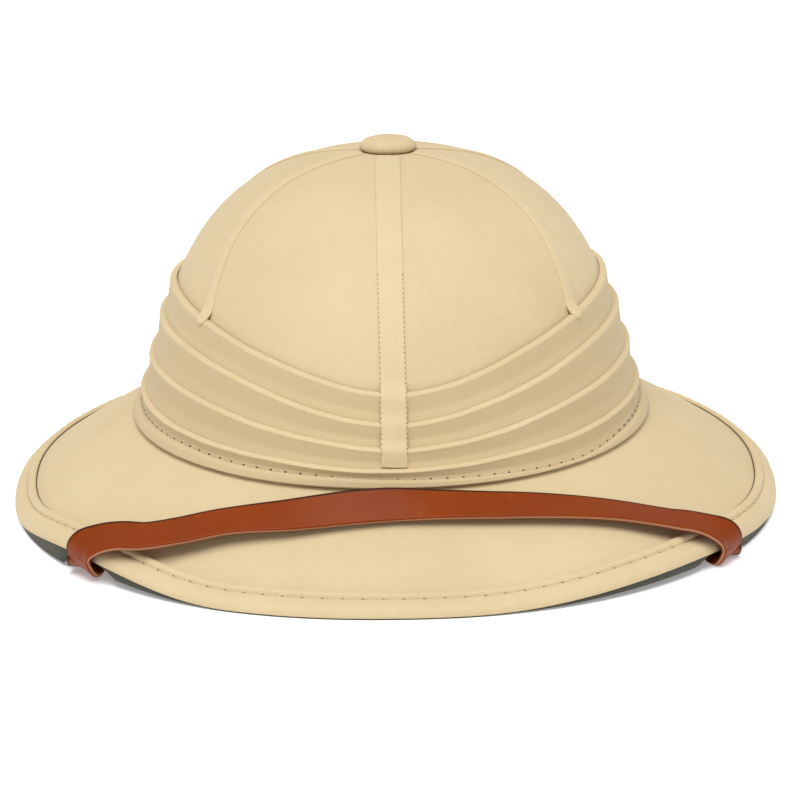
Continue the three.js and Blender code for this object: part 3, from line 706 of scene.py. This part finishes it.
band_shares = [0.0, 0.06, 0.16, 0.32, 0.52, 0.74, 0.92]
band_puff = [0.35, 0.62, 0.86, 1.0, 1.06, 1.02, 0.94]
band_rows = []
for share, puff in zip(band_shares, band_puff):
    dip = 1 - 0.5 * pull * math.exp(-share * 14)
    slope = mix(binding_brim.stitch_slope, binding_brim.band_slope, min(1, share * 3))
    out = cover * puff * dip
    band_rows.append(binding_brim.ramp(binding_brim.stitch, binding_brim.end, share, slope, out))
bottom = binding_brim.low + lip_shown
turned = binding_brim.width
binding_rows = np.array([
    *[on_ridge(r["along"], r["out"]) for r in ridge_roll],
    *band_rows,
    binding_brim.at(turned - 0.0004, binding_brim.end[1] + 0.0001),
    binding_brim.at(turned - 0.00005, binding_brim.end[1] - 0.0006),
    binding_brim.at(turned, bottom + 0.0006),
    binding_brim.at(turned - 0.0001, bottom + 0.0002),
    binding_brim.at(turned - 0.0004, bottom),
    binding_brim.at(turned - binding_thickness, bottom),
    binding_brim.at(turned - binding_thickness, binding_brim.end[1]),
    binding_brim.at(*lifted(*binding_brim.stitch, binding_brim.stitch_slope, touch_gap * 0.5)),
    binding_brim.at(*lifted(*binding_brim.ridge, binding_brim.ridge_slope, touch_gap * 0.5)),
])
binding_length = np.linspace(0, stitch_length, binding_steps + 1)
binding_flat = np.stack(np.broadcast_arrays(binding_length[None, :], run_length(binding_rows)), axis=-1)
bias_turn = np.array([[1, 1], [-1, 1]]) / math.sqrt(2)  # the strip is cut on the bias
binding = skin("binding_cloth", binding_rows, binding_flat @ bias_turn, join_rows=True)
settle(binding, khaki_cloth, "cloth", "brim_binding")

stitch_line = binding_brim.ramp(
    binding_brim.stitch, binding_brim.end, 0.02, binding_brim.stitch_slope, cover * 0.42,
)
above_stitches = binding_brim.at(*lifted(*binding_brim.stitch, binding_brim.stitch_slope, 0.01))
stitch_normals = above_stitches - binding_brim.at(*binding_brim.stitch)
ridge_holes = np.arange(ridge_stitches) * stitch_length / ridge_stitches
ridge_threads = beads(
    "ridge_stitches", stitch_line, stitch_normals, ridge_holes + ridge_pitch / 2,
    length=0.0056, width=0.0005, height=0.0002, sunk=0.0001,
)
settle(ridge_threads, khaki_thread, "cloth")
# Dark curved strokes at the stitches are painted shadow in the dips that the stitches pull into the roll
ridge_shadows = beads(
    "ridge_scallop_shadows", stitch_line, stitch_normals, ridge_holes[1:],
    length=0.0040, width=0.00045, height=0.0, sunk=0.0, sway=-0.0005,
)
settle(ridge_shadows, shadowed_thread, "cloth")

# Shadow under the binding's inner edge
# Along the sides and back the roll stands off the brim, and the shaded groove under its inner side is
# painted as a thin dark brown tube.
edge_fade_start = math.radians(54)
edge_fade_end = math.radians(65)
edge_radius = 0.00042
edge_sides = 8
edge_angles = np.linspace(-math.pi / 2 + edge_fade_start, 1.5 * math.pi - edge_fade_start, 700)
edge_brim = Brim(edge_angles)
from_front = np.minimum(edge_angles + math.pi / 2, 1.5 * math.pi - edge_angles)
edge_size = np.clip((from_front - edge_fade_start) / (edge_fade_end - edge_fade_start), 0.05, 1)
edge_rows = []
for k in range(edge_sides + 1):
    turn = 2 * math.pi * k / edge_sides
    q, z = lifted(
        edge_brim.ridge[0] - 0.00015 + edge_radius * edge_size * math.cos(turn),
        edge_brim.ridge[1] + edge_radius * edge_size * 0.8 * math.sin(turn),
        edge_brim.slope,
        0.0002,
    )
    edge_rows.append(edge_brim.at(q, z))
edge_rows = np.array(edge_rows).transpose(1, 0, 2)
edge_flat = np.zeros(edge_rows.shape[:2] + (2,))
edge_flat[..., 0] = run_length(edge_rows)
edge_flat[..., 1] = np.linspace(0, 0.0026, edge_sides + 1)[None, :]
groove_shadow_cloth = cloth_material("painted groove shadow", (0.075, 0.055, 0.028), (0.04, 0.03, 0.015), clouding=0.4)
settle(skin("binding_groove_shadow", edge_rows, edge_flat, caps=True), groove_shadow_cloth, "cloth")

# Facing under the brim
# Dark green cotton is glued under the whole brim, and its outer edge wraps the rim below the
# binding, where it shows as a thin dark lip.
facing_thickness = 0.0008
facing_steps = 360
facing_shares = np.linspace(0, 1, 16)
# The facing's own green is deepened nearly to black, so that the same cloth also serves as painted shadow
# where its lip hangs over the gap under the rim
green_cloth_and_gap_shadow = cloth_material(
    "dark green cotton and gap shadow", (0.055, 0.052, 0.034), (0.03, 0.03, 0.02), clouding=0.5, sheen=0.1,
)
facing_brim = Brim(around(facing_steps))
facing_back = -shell_wall - touch_gap
facing_face = facing_back - facing_thickness
inner_q = -shell_wall + touch_gap
inner_z = (
    facing_brim.foot[..., 2]
    - shell_wall * (1 - np.sin(facing_brim.slope)) / np.cos(facing_brim.slope)
    - 2 * touch_gap
)
lip_out = facing_brim.width - 2 * touch_gap
# The strap goes round the rim at these degrees from the front, wearer's left and right
strap_wrap_left = 52
strap_wrap_right = -47.5
# Where the rim waves up, the lip is drawn down towards the floor as a dark sheet of painted shadow over the
# gap under the rim, apart from where the strap passes
facing_from_front = (np.degrees(facing_brim.angle) + 270) % 360 - 180
past_strap = np.maximum(facing_from_front - strap_wrap_left, strap_wrap_right - facing_from_front)
strap_away = np.minimum(
    abs(facing_from_front - strap_wrap_left), abs(facing_from_front - strap_wrap_right),
)
gap_shadow_drop = np.clip((strap_away - 3.5) / 2.5, 0, 1) * (np.abs(facing_from_front) < 90)
gap_shadow_drop = gap_shadow_drop * np.where(past_strap > 0, 0.85, 0.5)
gap_shadow_low = facing_brim.low - gap_shadow_drop * np.maximum(facing_brim.low - side_rim_lift, 0)
facing_rows = np.array([
    facing_brim.at(inner_q, inner_z),
    *[facing_brim.main_face(share, facing_back) for share in facing_shares[1:]],
    facing_brim.at(*lifted(*facing_brim.stitch, facing_brim.stitch_slope, facing_back)),
    facing_brim.at(facing_brim.end[0] - rim_foot, facing_brim.low + rim_lip),
    facing_brim.at(lip_out - 0.0003, facing_brim.low + rim_lip),
    facing_brim.at(lip_out, facing_brim.low + rim_lip * 0.7),
    facing_brim.at(lip_out, facing_brim.low + rim_lip * 0.3),
    facing_brim.at(lip_out - touch_gap, gap_shadow_low),
    facing_brim.at(lip_out - touch_gap - rim_foot * 0.5, gap_shadow_low),
    facing_brim.at(lip_out - touch_gap - rim_foot, facing_brim.low),
    facing_brim.at(*lifted(*facing_brim.stitch, facing_brim.stitch_slope, facing_face)),
    *[facing_brim.main_face(share, facing_face) for share in facing_shares[:0:-1]],
    facing_brim.at(inner_q, inner_z - facing_thickness),
])
settle(
    skin("facing_cloth", facing_rows, facing_rows[..., :2], join_rows=True),
    green_cloth_and_gap_shadow,
    "facing",
    "underbrim_facing",
)

# Seam tapes
# A folded cotton tape covers each of the six gore seams, sewn down along both edges. The front and
# back tapes run on over three rolls and tuck into the lowest one; the others end at the top roll.
button_radius = 0.011
tape_thickness = 0.0008
tape_clear = 0.0004
tape_tip = 0.0026  # a side tape laps over the top roll by this much, in a narrow tip
tip_taper = 0.0045
seams = [
    {"node": "seam_tape_front", "foot": 0.8, "top": 0, "crossed": 3, "width": 0.0096},
    {"node": "seam_tape_front_left", "foot": 54, "top": 69, "crossed": 0, "width": 0.0062},
    {"node": "seam_tape_back_left", "foot": 126, "top": 111, "crossed": 0, "width": 0.0062},
    {"node": "seam_tape_back", "foot": 180, "top": 180, "crossed": 3, "width": 0.0096},
    {"node": "seam_tape_back_right", "foot": -126, "top": -111, "crossed": 0, "width": 0.0062},
    {"node": "seam_tape_front_right", "foot": -54, "top": -69, "crossed": 0, "width": 0.0062},
]
# Section of a tape: side is the share of its half width, out the share of its thickness. The step
# right of the middle is the edge of the fold inside it
tape_section = [
    {"side": -1.00, "out": -0.80},
    {"side": -1.00, "out": 0.30},
    {"side": -0.97, "out": 0.55},
    {"side": -0.90, "out": 0.70},
    {"side": -0.80, "out": 0.80},
    {"side": -0.60, "out": 0.90},
    {"side": -0.25, "out": 1.00},
    {"side": 0.12, "out": 1.02},
    {"side": 0.22, "out": 0.96},
    {"side": 0.30, "out": 0.84},
    {"side": 0.55, "out": 0.84},
    {"side": 0.80, "out": 0.78},
    {"side": 0.90, "out": 0.68},
    {"side": 0.97, "out": 0.52},
    {"side": 1.00, "out": 0.30},
    {"side": 1.00, "out": -0.80},
    {"side": 0.00, "out": -0.80},
    {"side": -1.00, "out": -0.80},
]
tape_stations = 220
tape_seam_side = 0.94
tape_dots_from = 0.42  # share of a tape's length from the button before its needle holes show
tape_cloth = cloth_material("tape cotton", (0.665, 0.54, 0.335), (0.56, 0.44, 0.25))


def share_at_radius(radius_share):
    shares = np.linspace(0.5, 1, 2001)
    return np.interp(-radius_share, -crown_profile(shares)[0][:, 0], shares)


def bed_height(seam, height, angle):
    """How far what lies under a tape stands off the shell at a height."""
    flat = touch_gap * 0.4
    top_fold = float(fold_height(pleat_folds[0], angle))
    places, outs = [1.0, top_fold + 0.03, top_fold - 0.012], [flat, flat, pleat_crest]
    for number in range(1, seam["crossed"]):
        above = float(fold_height(pleat_folds[number - 1], angle))
        fold = float(fold_height(pleat_folds[number], angle))
        places += [mix(above, fold, 0.75), fold - 0.012]
        outs += [mix(pleat_crest, pleat_valley, 0.4), pleat_crest]
    if seam["crossed"]:
        places.append(float(fold_height(pleat_folds[seam["crossed"]], angle)) + 0.004)
        outs.append(pleat_valley)
    places.append(0.0)
    outs.append(outs[-1])
    return np.interp(-height, [-p for p in places], outs)


def seam_tape(seam):
    crossed = seam["crossed"]
    foot_angle = math.radians(seam["foot"] - 90)
    top_angle = math.radians(seam["top"] - 90)
    last_fold = float(fold_height(pleat_folds[crossed], foot_angle))
    end_height = last_fold + (tape_clear if crossed else -tape_tip) / crown_rise
    top_share = share_at_radius((button_radius + 0.0003) / crown_half_width)
    shares = np.linspace(top_share, float(share_at_height(end_height)), tape_stations)
    top_fold = float(fold_height(pleat_folds[0], foot_angle))
    run = np.clip((top_share - shares) / (top_share - float(share_at_height(top_fold))), 0, 1)
    angle = mix(top_angle, foot_angle, run)
    height = crown_profile(shares)[0][:, 1]
    width = np.full(tape_stations, seam["width"])
    if not crossed:
        taper = np.clip((height - end_height) * crown_rise / tip_taper, 0, 1)
        width *= 0.15 + 0.85 * np.sqrt(1 - (1 - taper) ** 2)
    bed = bed_height(seam, height, foot_angle)
    kernel = np.hanning(11)
    bed = np.convolve(np.pad(bed, 5, mode="edge"), kernel / kernel.sum(), mode="valid")
    stride = np.linalg.norm(crown_point(angle + 0.01, shares) - crown_point(angle - 0.01, shares), axis=-1)
    half = width / 2 * 0.02 / stride

    def at(side, out):
        place = angle + side * half
        local = height + (fold_height(pleat_folds[0], place) - top_fold) * run**6
        return crown_point(place, share_at_height(local), bed + out)

    stand = tape_thickness * (1 if crossed else 0.7)
    rows = np.array([at(r["side"], r["out"] * stand) for r in tape_section]).transpose(1, 0, 2)
    flat = np.zeros(rows.shape[:2] + (2,))
    flat[..., 0] = np.array([r["side"] for r in tape_section])[None, :] * seam["width"] / 2
    flat[..., 1] = run_length(rows[:, 7])[:, None]
    piece = skin("cloth_" + seam["node"], rows, flat, caps=True)
    settle(piece, tape_cloth, "tape", seam["node"])
    if not crossed:
        return
    shown = slice(int(tape_dots_from * tape_stations), int(0.97 * tape_stations))
    for label, side in (("left", tape_seam_side), ("right", -tape_seam_side)):
        line = at(side, tape_thickness * 0.62)[shown]
        normals = at(side, tape_thickness + 0.001)[shown] - at(side, tape_thickness)[shown]
        holes = np.arange(0.001, run_length(line)[-1] - 0.001, 0.0019)
        # Dark beads of painted shade in the needle holes along the tape's edge
        dots = beads(
            seam["node"] + "_holes_" + label, line, normals, holes, 0.0007, 0.00045, 0.0, 0.00005, rings=5,
        )
        settle(dots, shadowed_thread, "tape")


for seam in seams:
    seam_tape(seam)

# Top button
# A domed disc covered in the same cotton, gathered underneath, closes the point where the gores meet.
button_height = 0.0052
button_steps = 120
button_shape = [
    {"radius": 0.00, "level": 1.00},
    {"radius": 0.20, "level": 0.995},
    {"radius": 0.42, "level": 0.97},
    {"radius": 0.62, "level": 0.91},
    {"radius": 0.78, "level": 0.81},
    {"radius": 0.90, "level": 0.66},
    {"radius": 0.97, "level": 0.46},
    {"radius": 1.00, "level": 0.26},
    {"radius": 0.985, "level": 0.10},
    {"radius": 0.93, "level": 0.00},
    {"radius": 0.60, "level": 0.00},
    {"radius": 0.00, "level": 0.00},
]
button_turns = np.linspace(0, 2 * math.pi, button_steps + 1)
button_base = crown_point(0.0, 0.9999, touch_gap * 0.5)
button_rows = []
for row in button_shape:
    gather = 1 - row["level"] if row["radius"] > 0.8 else 0
    radius = button_radius * (row["radius"] + 0.012 * gather * np.sin(button_turns * 26))
    x = radius * np.cos(button_turns)
    y = radius * np.sin(button_turns)
    z = np.full_like(x, button_height * row["level"])
    button_rows.append(button_base + np.stack([x, y, z], axis=-1))
button_rows = np.array(button_rows)
button = skin("cloth_top_button", button_rows, button_rows[..., :2])
settle(button, khaki_cloth, "cloth", "top_button")

# Chin strap
# One strip of brown strap leather 14.5 mm wide and 2 mm thick, worn up over the front of the brim.
# Its ends go round the rim, back under the brim and up inside the dome, where they are riveted.
strap_width = 0.0145
strap_thickness = 0.002
strap_over_brim = [
    {"angle": -44, "across": 0.95, "rise": 0.50, "lean": 24, "turn": 45},
    {"angle": -38, "across": 0.80, "rise": 0.53, "lean": 24, "turn": 12},
    {"angle": -28, "across": 0.48, "rise": 0.46, "lean": 24, "turn": 0},
    {"angle": -18, "across": 0.36, "rise": 0.43, "lean": 34, "turn": 0},
    {"angle": -8, "across": 0.27, "rise": 0.40, "lean": 40, "turn": 0},
    {"angle": 0, "across": 0.23, "rise": 0.36, "lean": 39, "turn": 0},
    {"angle": 8, "across": 0.23, "rise": 0.33, "lean": 29, "turn": 0},
    {"angle": 18, "across": 0.27, "rise": 0.32, "lean": 24, "turn": 0},
    {"angle": 28, "across": 0.355, "rise": 0.31, "lean": 20, "turn": 0},
    {"angle": 38, "across": 0.525, "rise": 0.30, "lean": 15, "turn": -5},
    {"angle": 45, "across": 0.765, "rise": 0.37, "lean": 13, "turn": -18},
    {"angle": 49, "across": 0.94, "rise": 0.45, "lean": 14, "turn": -48},
]
strap_at_rim = [
    {"past": 0.2, "level": 0.28, "drop": 16},
    {"past": 0.03, "level": -0.17, "drop": 8},
]
strap_under_brim = [
    {"swing": 7, "across": 0.70, "below": 0.20, "turn": 42},
    {"swing": 19, "across": 0.48, "below": 0.10, "turn": 16},
    {"swing": 32, "across": 0.24, "below": 0.10, "turn": 35},
    {"swing": 36, "across": 0.03, "below": 0.16, "turn": 65},
    {"swing": 36, "across": -0.12, "below": 0.14, "turn": 82},
]
tab_angle = 88
tab_height = 0.022
tab_space = 0.0009
tab_shares = [0.25, 0.5, 1.0]
strap_stations = 60
floor_clear = 0.0005


def section_at(from_front_degrees):
    return Brim(np.array(math.radians(from_front_degrees - 90)))


def face_height(brim, q):
    qs = [0, brim.ridge[0], brim.stitch[0], brim.end[0], brim.width]
    zs = [brim.foot[2], brim.ridge[1], brim.stitch[1], brim.end[1], brim.low]
    if q < 0:
        return zs[0] + (zs[1] - zs[0]) * q / qs[1]
    return float(np.interp(q, qs, zs))


def over_place(row):
    brim = section_at(row["angle"])
    q = row["across"] * float(brim.width)
    middle = brim.at(q, face_height(brim, q) + row["rise"] * strap_width)
    inward = Matrix.Rotation(math.radians(row["turn"]), 3, "Z") @ Vector((*(-brim.outward), 0))
    lean = math.radians(row["lean"])
    return middle, np.array(inward) * math.cos(lean) + np.array([0, 0, math.sin(lean)])


def rim_place(wrap, row):
    side = math.copysign(1, wrap)
    brim = section_at(wrap)
    beyond = section_at(wrap + side)
    along = beyond.at(beyond.width, 0) - brim.at(brim.width, 0)
    along /= np.linalg.norm(along)
    middle = brim.at(brim.width + row["past"] * strap_width, brim.low + row["level"] * strap_width)
    drop = math.radians(row["drop"])
    return middle, along * math.cos(drop) + np.array([0, 0, math.sin(drop)])


def under_place(wrap, row):
    side = math.copysign(1, wrap)
    brim = section_at(wrap + side * row["swing"])
    q = row["across"] * float(brim.width)
    covered = shell_wall + facing_thickness + touch_gap * 2 + strap_thickness / 2
    level = face_height(brim, q) - covered / math.cos(brim.slope) - row["below"] * strap_width
    x, y = brim.outward
    turn = math.radians(row["turn"])
    down_slope = np.array([x * math.cos(brim.slope), y * math.cos(brim.slope), -math.sin(brim.slope)])
    sideways = np.array([-y * side, x * side, 0])
    return brim.at(q, level), down_slope * math.cos(turn) + sideways * math.sin(turn)


def tab_place(side, height):
    inset = shell_wall + touch_gap + tab_space + strap_thickness / 2
    share = float(share_at_height(height / crown_rise))
    angle = math.radians(side * tab_angle - 90)
    return crown_point(angle, share, -inset), np.array([0.0, 1.0, 0.0])


def side_places(wrap):
    side = math.copysign(1, wrap)
    return [
        *[rim_place(wrap, row) for row in strap_at_rim],
        *[under_place(wrap, row) for row in strap_under_brim],
        *[tab_place(side, tab_height * share) for share in tab_shares],
    ]


def smooth_through(points, each):
    """A smooth line through points, with evenly loose bends."""
    padded = np.vstack([2 * points[0] - points[1], points, 2 * points[-1] - points[-2]])
    line = []
    for k in range(len(points) - 1):
        p0, p1, p2, p3 = padded[k : k + 4]
        d0, d1, d2 = (math.sqrt(np.linalg.norm(b - a)) for a, b in ((p0, p1), (p1, p2), (p2, p3)))
        if d1 < 1e-4:
            d1 = 1.0
        d0 = d1 if d0 < 1e-4 else d0
        d2 = d1 if d2 < 1e-4 else d2
        m1 = ((p1 - p0) / d0 - (p2 - p0) / (d0 + d1) + (p2 - p1) / d1) * d1
        m2 = ((p2 - p1) / d1 - (p3 - p1) / (d1 + d2) + (p3 - p2) / d2) * d1
        for t in np.arange(each) / each:
            line.append(
                (2 * t**3 - 3 * t**2 + 1) * p1
                + (t**3 - 2 * t**2 + t) * m1
                + (3 * t**2 - 2 * t**3) * p2
                + (t**3 - t**2) * m2
            )
    line.append(points[-1])
    return np.array(line)


strap_places = [
    *side_places(strap_wrap_right)[::-1],
    *[over_place(row) for row in strap_over_brim],
    *side_places(strap_wrap_left),
]


def strap_line(points):
    """Stations evenly set along the curve through the places, then a fine smooth line through them."""
    stations = smooth_through(points, strap_stations)[:: len(points) - 1]
    return smooth_through(stations, 9)


strap_middles = strap_line(np.array([place for place, _ in strap_places]) * 1000) / 1000
strap_across = strap_line(np.array([across for _, across in strap_places]))
strap_along = np.gradient(strap_middles, axis=0)
strap_along /= np.linalg.norm(strap_along, axis=1)[:, None]
strap_across -= (strap_across * strap_along).sum(axis=1)[:, None] * strap_along
strap_across /= np.linalg.norm(strap_across, axis=1)[:, None]
strap_up = np.cross(strap_along, strap_across)
# Section of the strap: side is the share of its half width, up of its half thickness
strap_section = [
    {"side": -1.00, "up": -0.45},
    {"side": -0.985, "up": -0.80},
    {"side": -0.94, "up": -1.00},
    {"side": -0.50, "up": -1.00},
    {"side": 0.00, "up": -1.00},
    {"side": 0.50, "up": -1.00},
    {"side": 0.94, "up": -1.00},
    {"side": 0.985, "up": -0.80},
    {"side": 1.00, "up": -0.45},
    {"side": 1.00, "up": 0.35},
    {"side": 0.98, "up": 0.75},
    {"side": 0.93, "up": 0.96},
    {"side": 0.84, "up": 0.90},
    {"side": 0.50, "up": 0.97},
    {"side": 0.00, "up": 1.00},
    {"side": -0.50, "up": 0.97},
    {"side": -0.84, "up": 0.90},
    {"side": -0.93, "up": 0.96},
    {"side": -0.98, "up": 0.75},
    {"side": -1.00, "up": 0.35},
    {"side": -1.00, "up": -0.45},
]
strap_rows = np.array([
    strap_middles
    + strap_across * row["side"] * strap_width / 2
    + strap_up * row["up"] * strap_thickness / 2
    for row in strap_section
]).transpose(1, 0, 2)
strap_rows[..., 2] = np.maximum(strap_rows[..., 2], floor_clear)
strap_flat = np.zeros(strap_rows.shape[:2] + (2,))
strap_flat[..., 0] = run_length(strap_middles)[:, None]
strap_flat[..., 1] = (np.array([row["side"] for row in strap_section]) * strap_width / 2)[None, :]


def leather_grain_group():
    """Fine pebbled grain with a few longer creases across the strap."""
    takes = [("Place", "Vector", None)]
    gives = [("Height", "Float"), ("Scuff", "Float")]
    tree, given, result = new_group("leather grain", takes, gives)
    pebble = add_node(
        tree, "ShaderNodeTexVoronoi", {"Vector": given["Place"], "Scale": 1500.0}, feature="SMOOTH_F1",
    )
    fibre = add_node(tree, "ShaderNodeTexNoise", {"Vector": given["Place"], "Scale": 700.0, "Detail": 5.0})
    stretched = add_node(
        tree, "ShaderNodeVectorMath", {0: given["Place"], 1: (190.0, 60.0, 100.0)}, operation="MULTIPLY",
    )
    crease = add_node(
        tree,
        "ShaderNodeTexNoise",
        {"Vector": stretched.outputs[0], "Scale": 1.0, "Detail": 6.0, "Roughness": 0.65},
    )
    grain = calculate(tree, "MULTIPLY_ADD", pebble.outputs["Distance"], 0.5, fibre.outputs["Fac"])
    height = calculate(tree, "MULTIPLY_ADD", crease.outputs["Fac"], 0.9, grain)
    worn = add_node(
        tree, "ShaderNodeMapRange", {0: crease.outputs["Fac"], 1: 0.56, 2: 0.74, 3: 0.0, 4: 1.0},
    )
    tree.links.new(height, result["Height"])
    tree.links.new(worn.outputs[0], result["Scuff"])
    return tree


leather_grain = leather_grain_group()


def leather_material(name, base, deep, scuffed):
    material = bpy.data.materials.new(name)
    material.use_nodes = True
    tree = material.node_tree
    shader = tree.nodes["Principled BSDF"]
    flat_map = add_node(tree, "ShaderNodeUVMap", uv_map="cloth").outputs[0]
    grain = add_node(tree, "ShaderNodeGroup", node_tree=leather_grain)
    tree.links.new(flat_map, grain.inputs["Place"])
    cloud = add_node(tree, "ShaderNodeTexNoise", {"Vector": flat_map, "Scale": 38.0, "Detail": 5.0})
    tone = add_node(
        tree, "ShaderNodeMix", {0: cloud.outputs["Fac"], 6: (*deep, 1), 7: (*base, 1)}, data_type="RGBA",
    )
    wear = calculate(tree, "MULTIPLY", grain.outputs["Scuff"], 0.2)
    worn = add_node(
        tree, "ShaderNodeMix", {0: wear, 6: tone.outputs[2], 7: (*scuffed, 1)}, data_type="RGBA",
    )
    rough = add_node(tree, "ShaderNodeMapRange", {0: grain.outputs["Scuff"], 3: 0.42, 4: 0.6})
    bump = add_node(
        tree, "ShaderNodeBump", {"Height": grain.outputs["Height"], "Distance": 0.00012, "Strength": 0.6},
    )
    tree.links.new(worn.outputs[2], shader.inputs["Base Color"])
    tree.links.new(rough.outputs[0], shader.inputs["Roughness"])
    tree.links.new(bump.outputs[0], shader.inputs["Normal"])
    shader.inputs["Specular IOR Level"].default_value = 0.12
    return material


brown_leather = leather_material(
    "brown strap leather", (0.245, 0.040, 0.001), (0.165, 0.024, 0.001), (0.34, 0.10, 0.03),
)
cut_edge = leather_material("strap cut edge", (0.42, 0.22, 0.13), (0.30, 0.14, 0.075), (0.50, 0.30, 0.2))
burnished_edge = leather_material(
    "strap burnished edge", (0.06, 0.012, 0.002), (0.03, 0.006, 0.001), (0.1, 0.03, 0.01),
)
strap = skin("leather_chin_strap", strap_rows, strap_flat, caps=True)
settle(strap, brown_leather, "leather", "chin_strap")
strap.data.materials.append(cut_edge)
strap.data.materials.append(burnished_edge)
edge_columns = {19: 1, 8: 2, 9: 2, 10: 2, 11: 2}
for polygon in strap.data.polygons:
    column = polygon.index % (len(strap_section) - 1)
    if column in edge_columns and polygon.index < (len(strap_rows) - 1) * (len(strap_section) - 1):
        polygon.material_index = edge_columns[column]

# Strap rivets
# A plain brass rivet holds each end of the strap inside the dome.
rivet_brass = bpy.data.materials.new("rivet brass")
rivet_brass.use_nodes = True
brass_tree = rivet_brass.node_tree
brass_shader = brass_tree.nodes["Principled BSDF"]
brass_place = add_node(brass_tree, "ShaderNodeTexCoord").outputs["Object"]
brass_tarnish = add_node(
    brass_tree, "ShaderNodeTexNoise", {"Vector": brass_place, "Scale": 350.0, "Detail": 4.0},
)
brass_tone = add_node(
    brass_tree,
    "ShaderNodeMix",
    {0: brass_tarnish.outputs["Fac"], 6: (0.36, 0.22, 0.08, 1), 7: (0.66, 0.47, 0.2, 1)},
    data_type="RGBA",
)
brass_rough = add_node(brass_tree, "ShaderNodeMapRange", {0: brass_tarnish.outputs["Fac"], 3: 0.3, 4: 0.5})
brass_tree.links.new(brass_tone.outputs[2], brass_shader.inputs["Base Color"])
brass_tree.links.new(brass_rough.outputs[0], brass_shader.inputs["Roughness"])
brass_shader.inputs["Metallic"].default_value = 1.0
for side in ("left", "right"):
    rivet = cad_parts["chin_strap_rivet_" + side]
    rivet.data.materials.clear()
    rivet.data.materials.append(rivet_brass)

# Floor and light
# A plain white floor under a pale room, and one broad soft light from above, in front and the left.
floor_size = 30
floor_mesh = bpy.data.meshes.new("floor")
half_floor = floor_size / 2
floor_mesh.from_pydata(
    [(half_floor * x, half_floor * y, 0) for x, y in [(-1, -1), (1, -1), (1, 1), (-1, 1)]],
    [],
    [(0, 1, 2, 3)],
)
floor = bpy.data.objects.new("floor", floor_mesh)
bpy.context.scene.collection.objects.link(floor)
floor_paint = bpy.data.materials.new("white floor")
floor_paint.use_nodes = True
floor_shader = floor_paint.node_tree.nodes["Principled BSDF"]
floor_shader.inputs["Base Color"].default_value = (0.95, 0.95, 0.95, 1)
floor_shader.inputs["Roughness"].default_value = 0.9
floor_shader.inputs["Specular IOR Level"].default_value = 0.1
floor_shader.inputs["Emission Color"].default_value = (1, 1, 1, 1)
floor_shader.inputs["Emission Strength"].default_value = 0.25
floor_mesh.materials.append(floor_paint)

sun_data = bpy.data.lights.new("softbox", "SUN")
sun_data.energy = 2.8
sun_data.angle = math.radians(48)
sun = bpy.data.objects.new("softbox", sun_data)
bpy.context.scene.collection.objects.link(sun)
sun_from = Vector((-0.06, -0.38, 0.92))
sun.rotation_euler = sun_from.to_track_quat("Z", "Y").to_euler()
world = bpy.data.worlds.new("studio")
world.use_nodes = True
world.node_tree.nodes["Background"].inputs["Color"].default_value = (1, 1, 1, 1)
world.node_tree.nodes["Background"].inputs["Strength"].default_value = 0.5
bpy.context.scene.world = world
bpy.context.scene.view_settings.view_transform = "Standard"
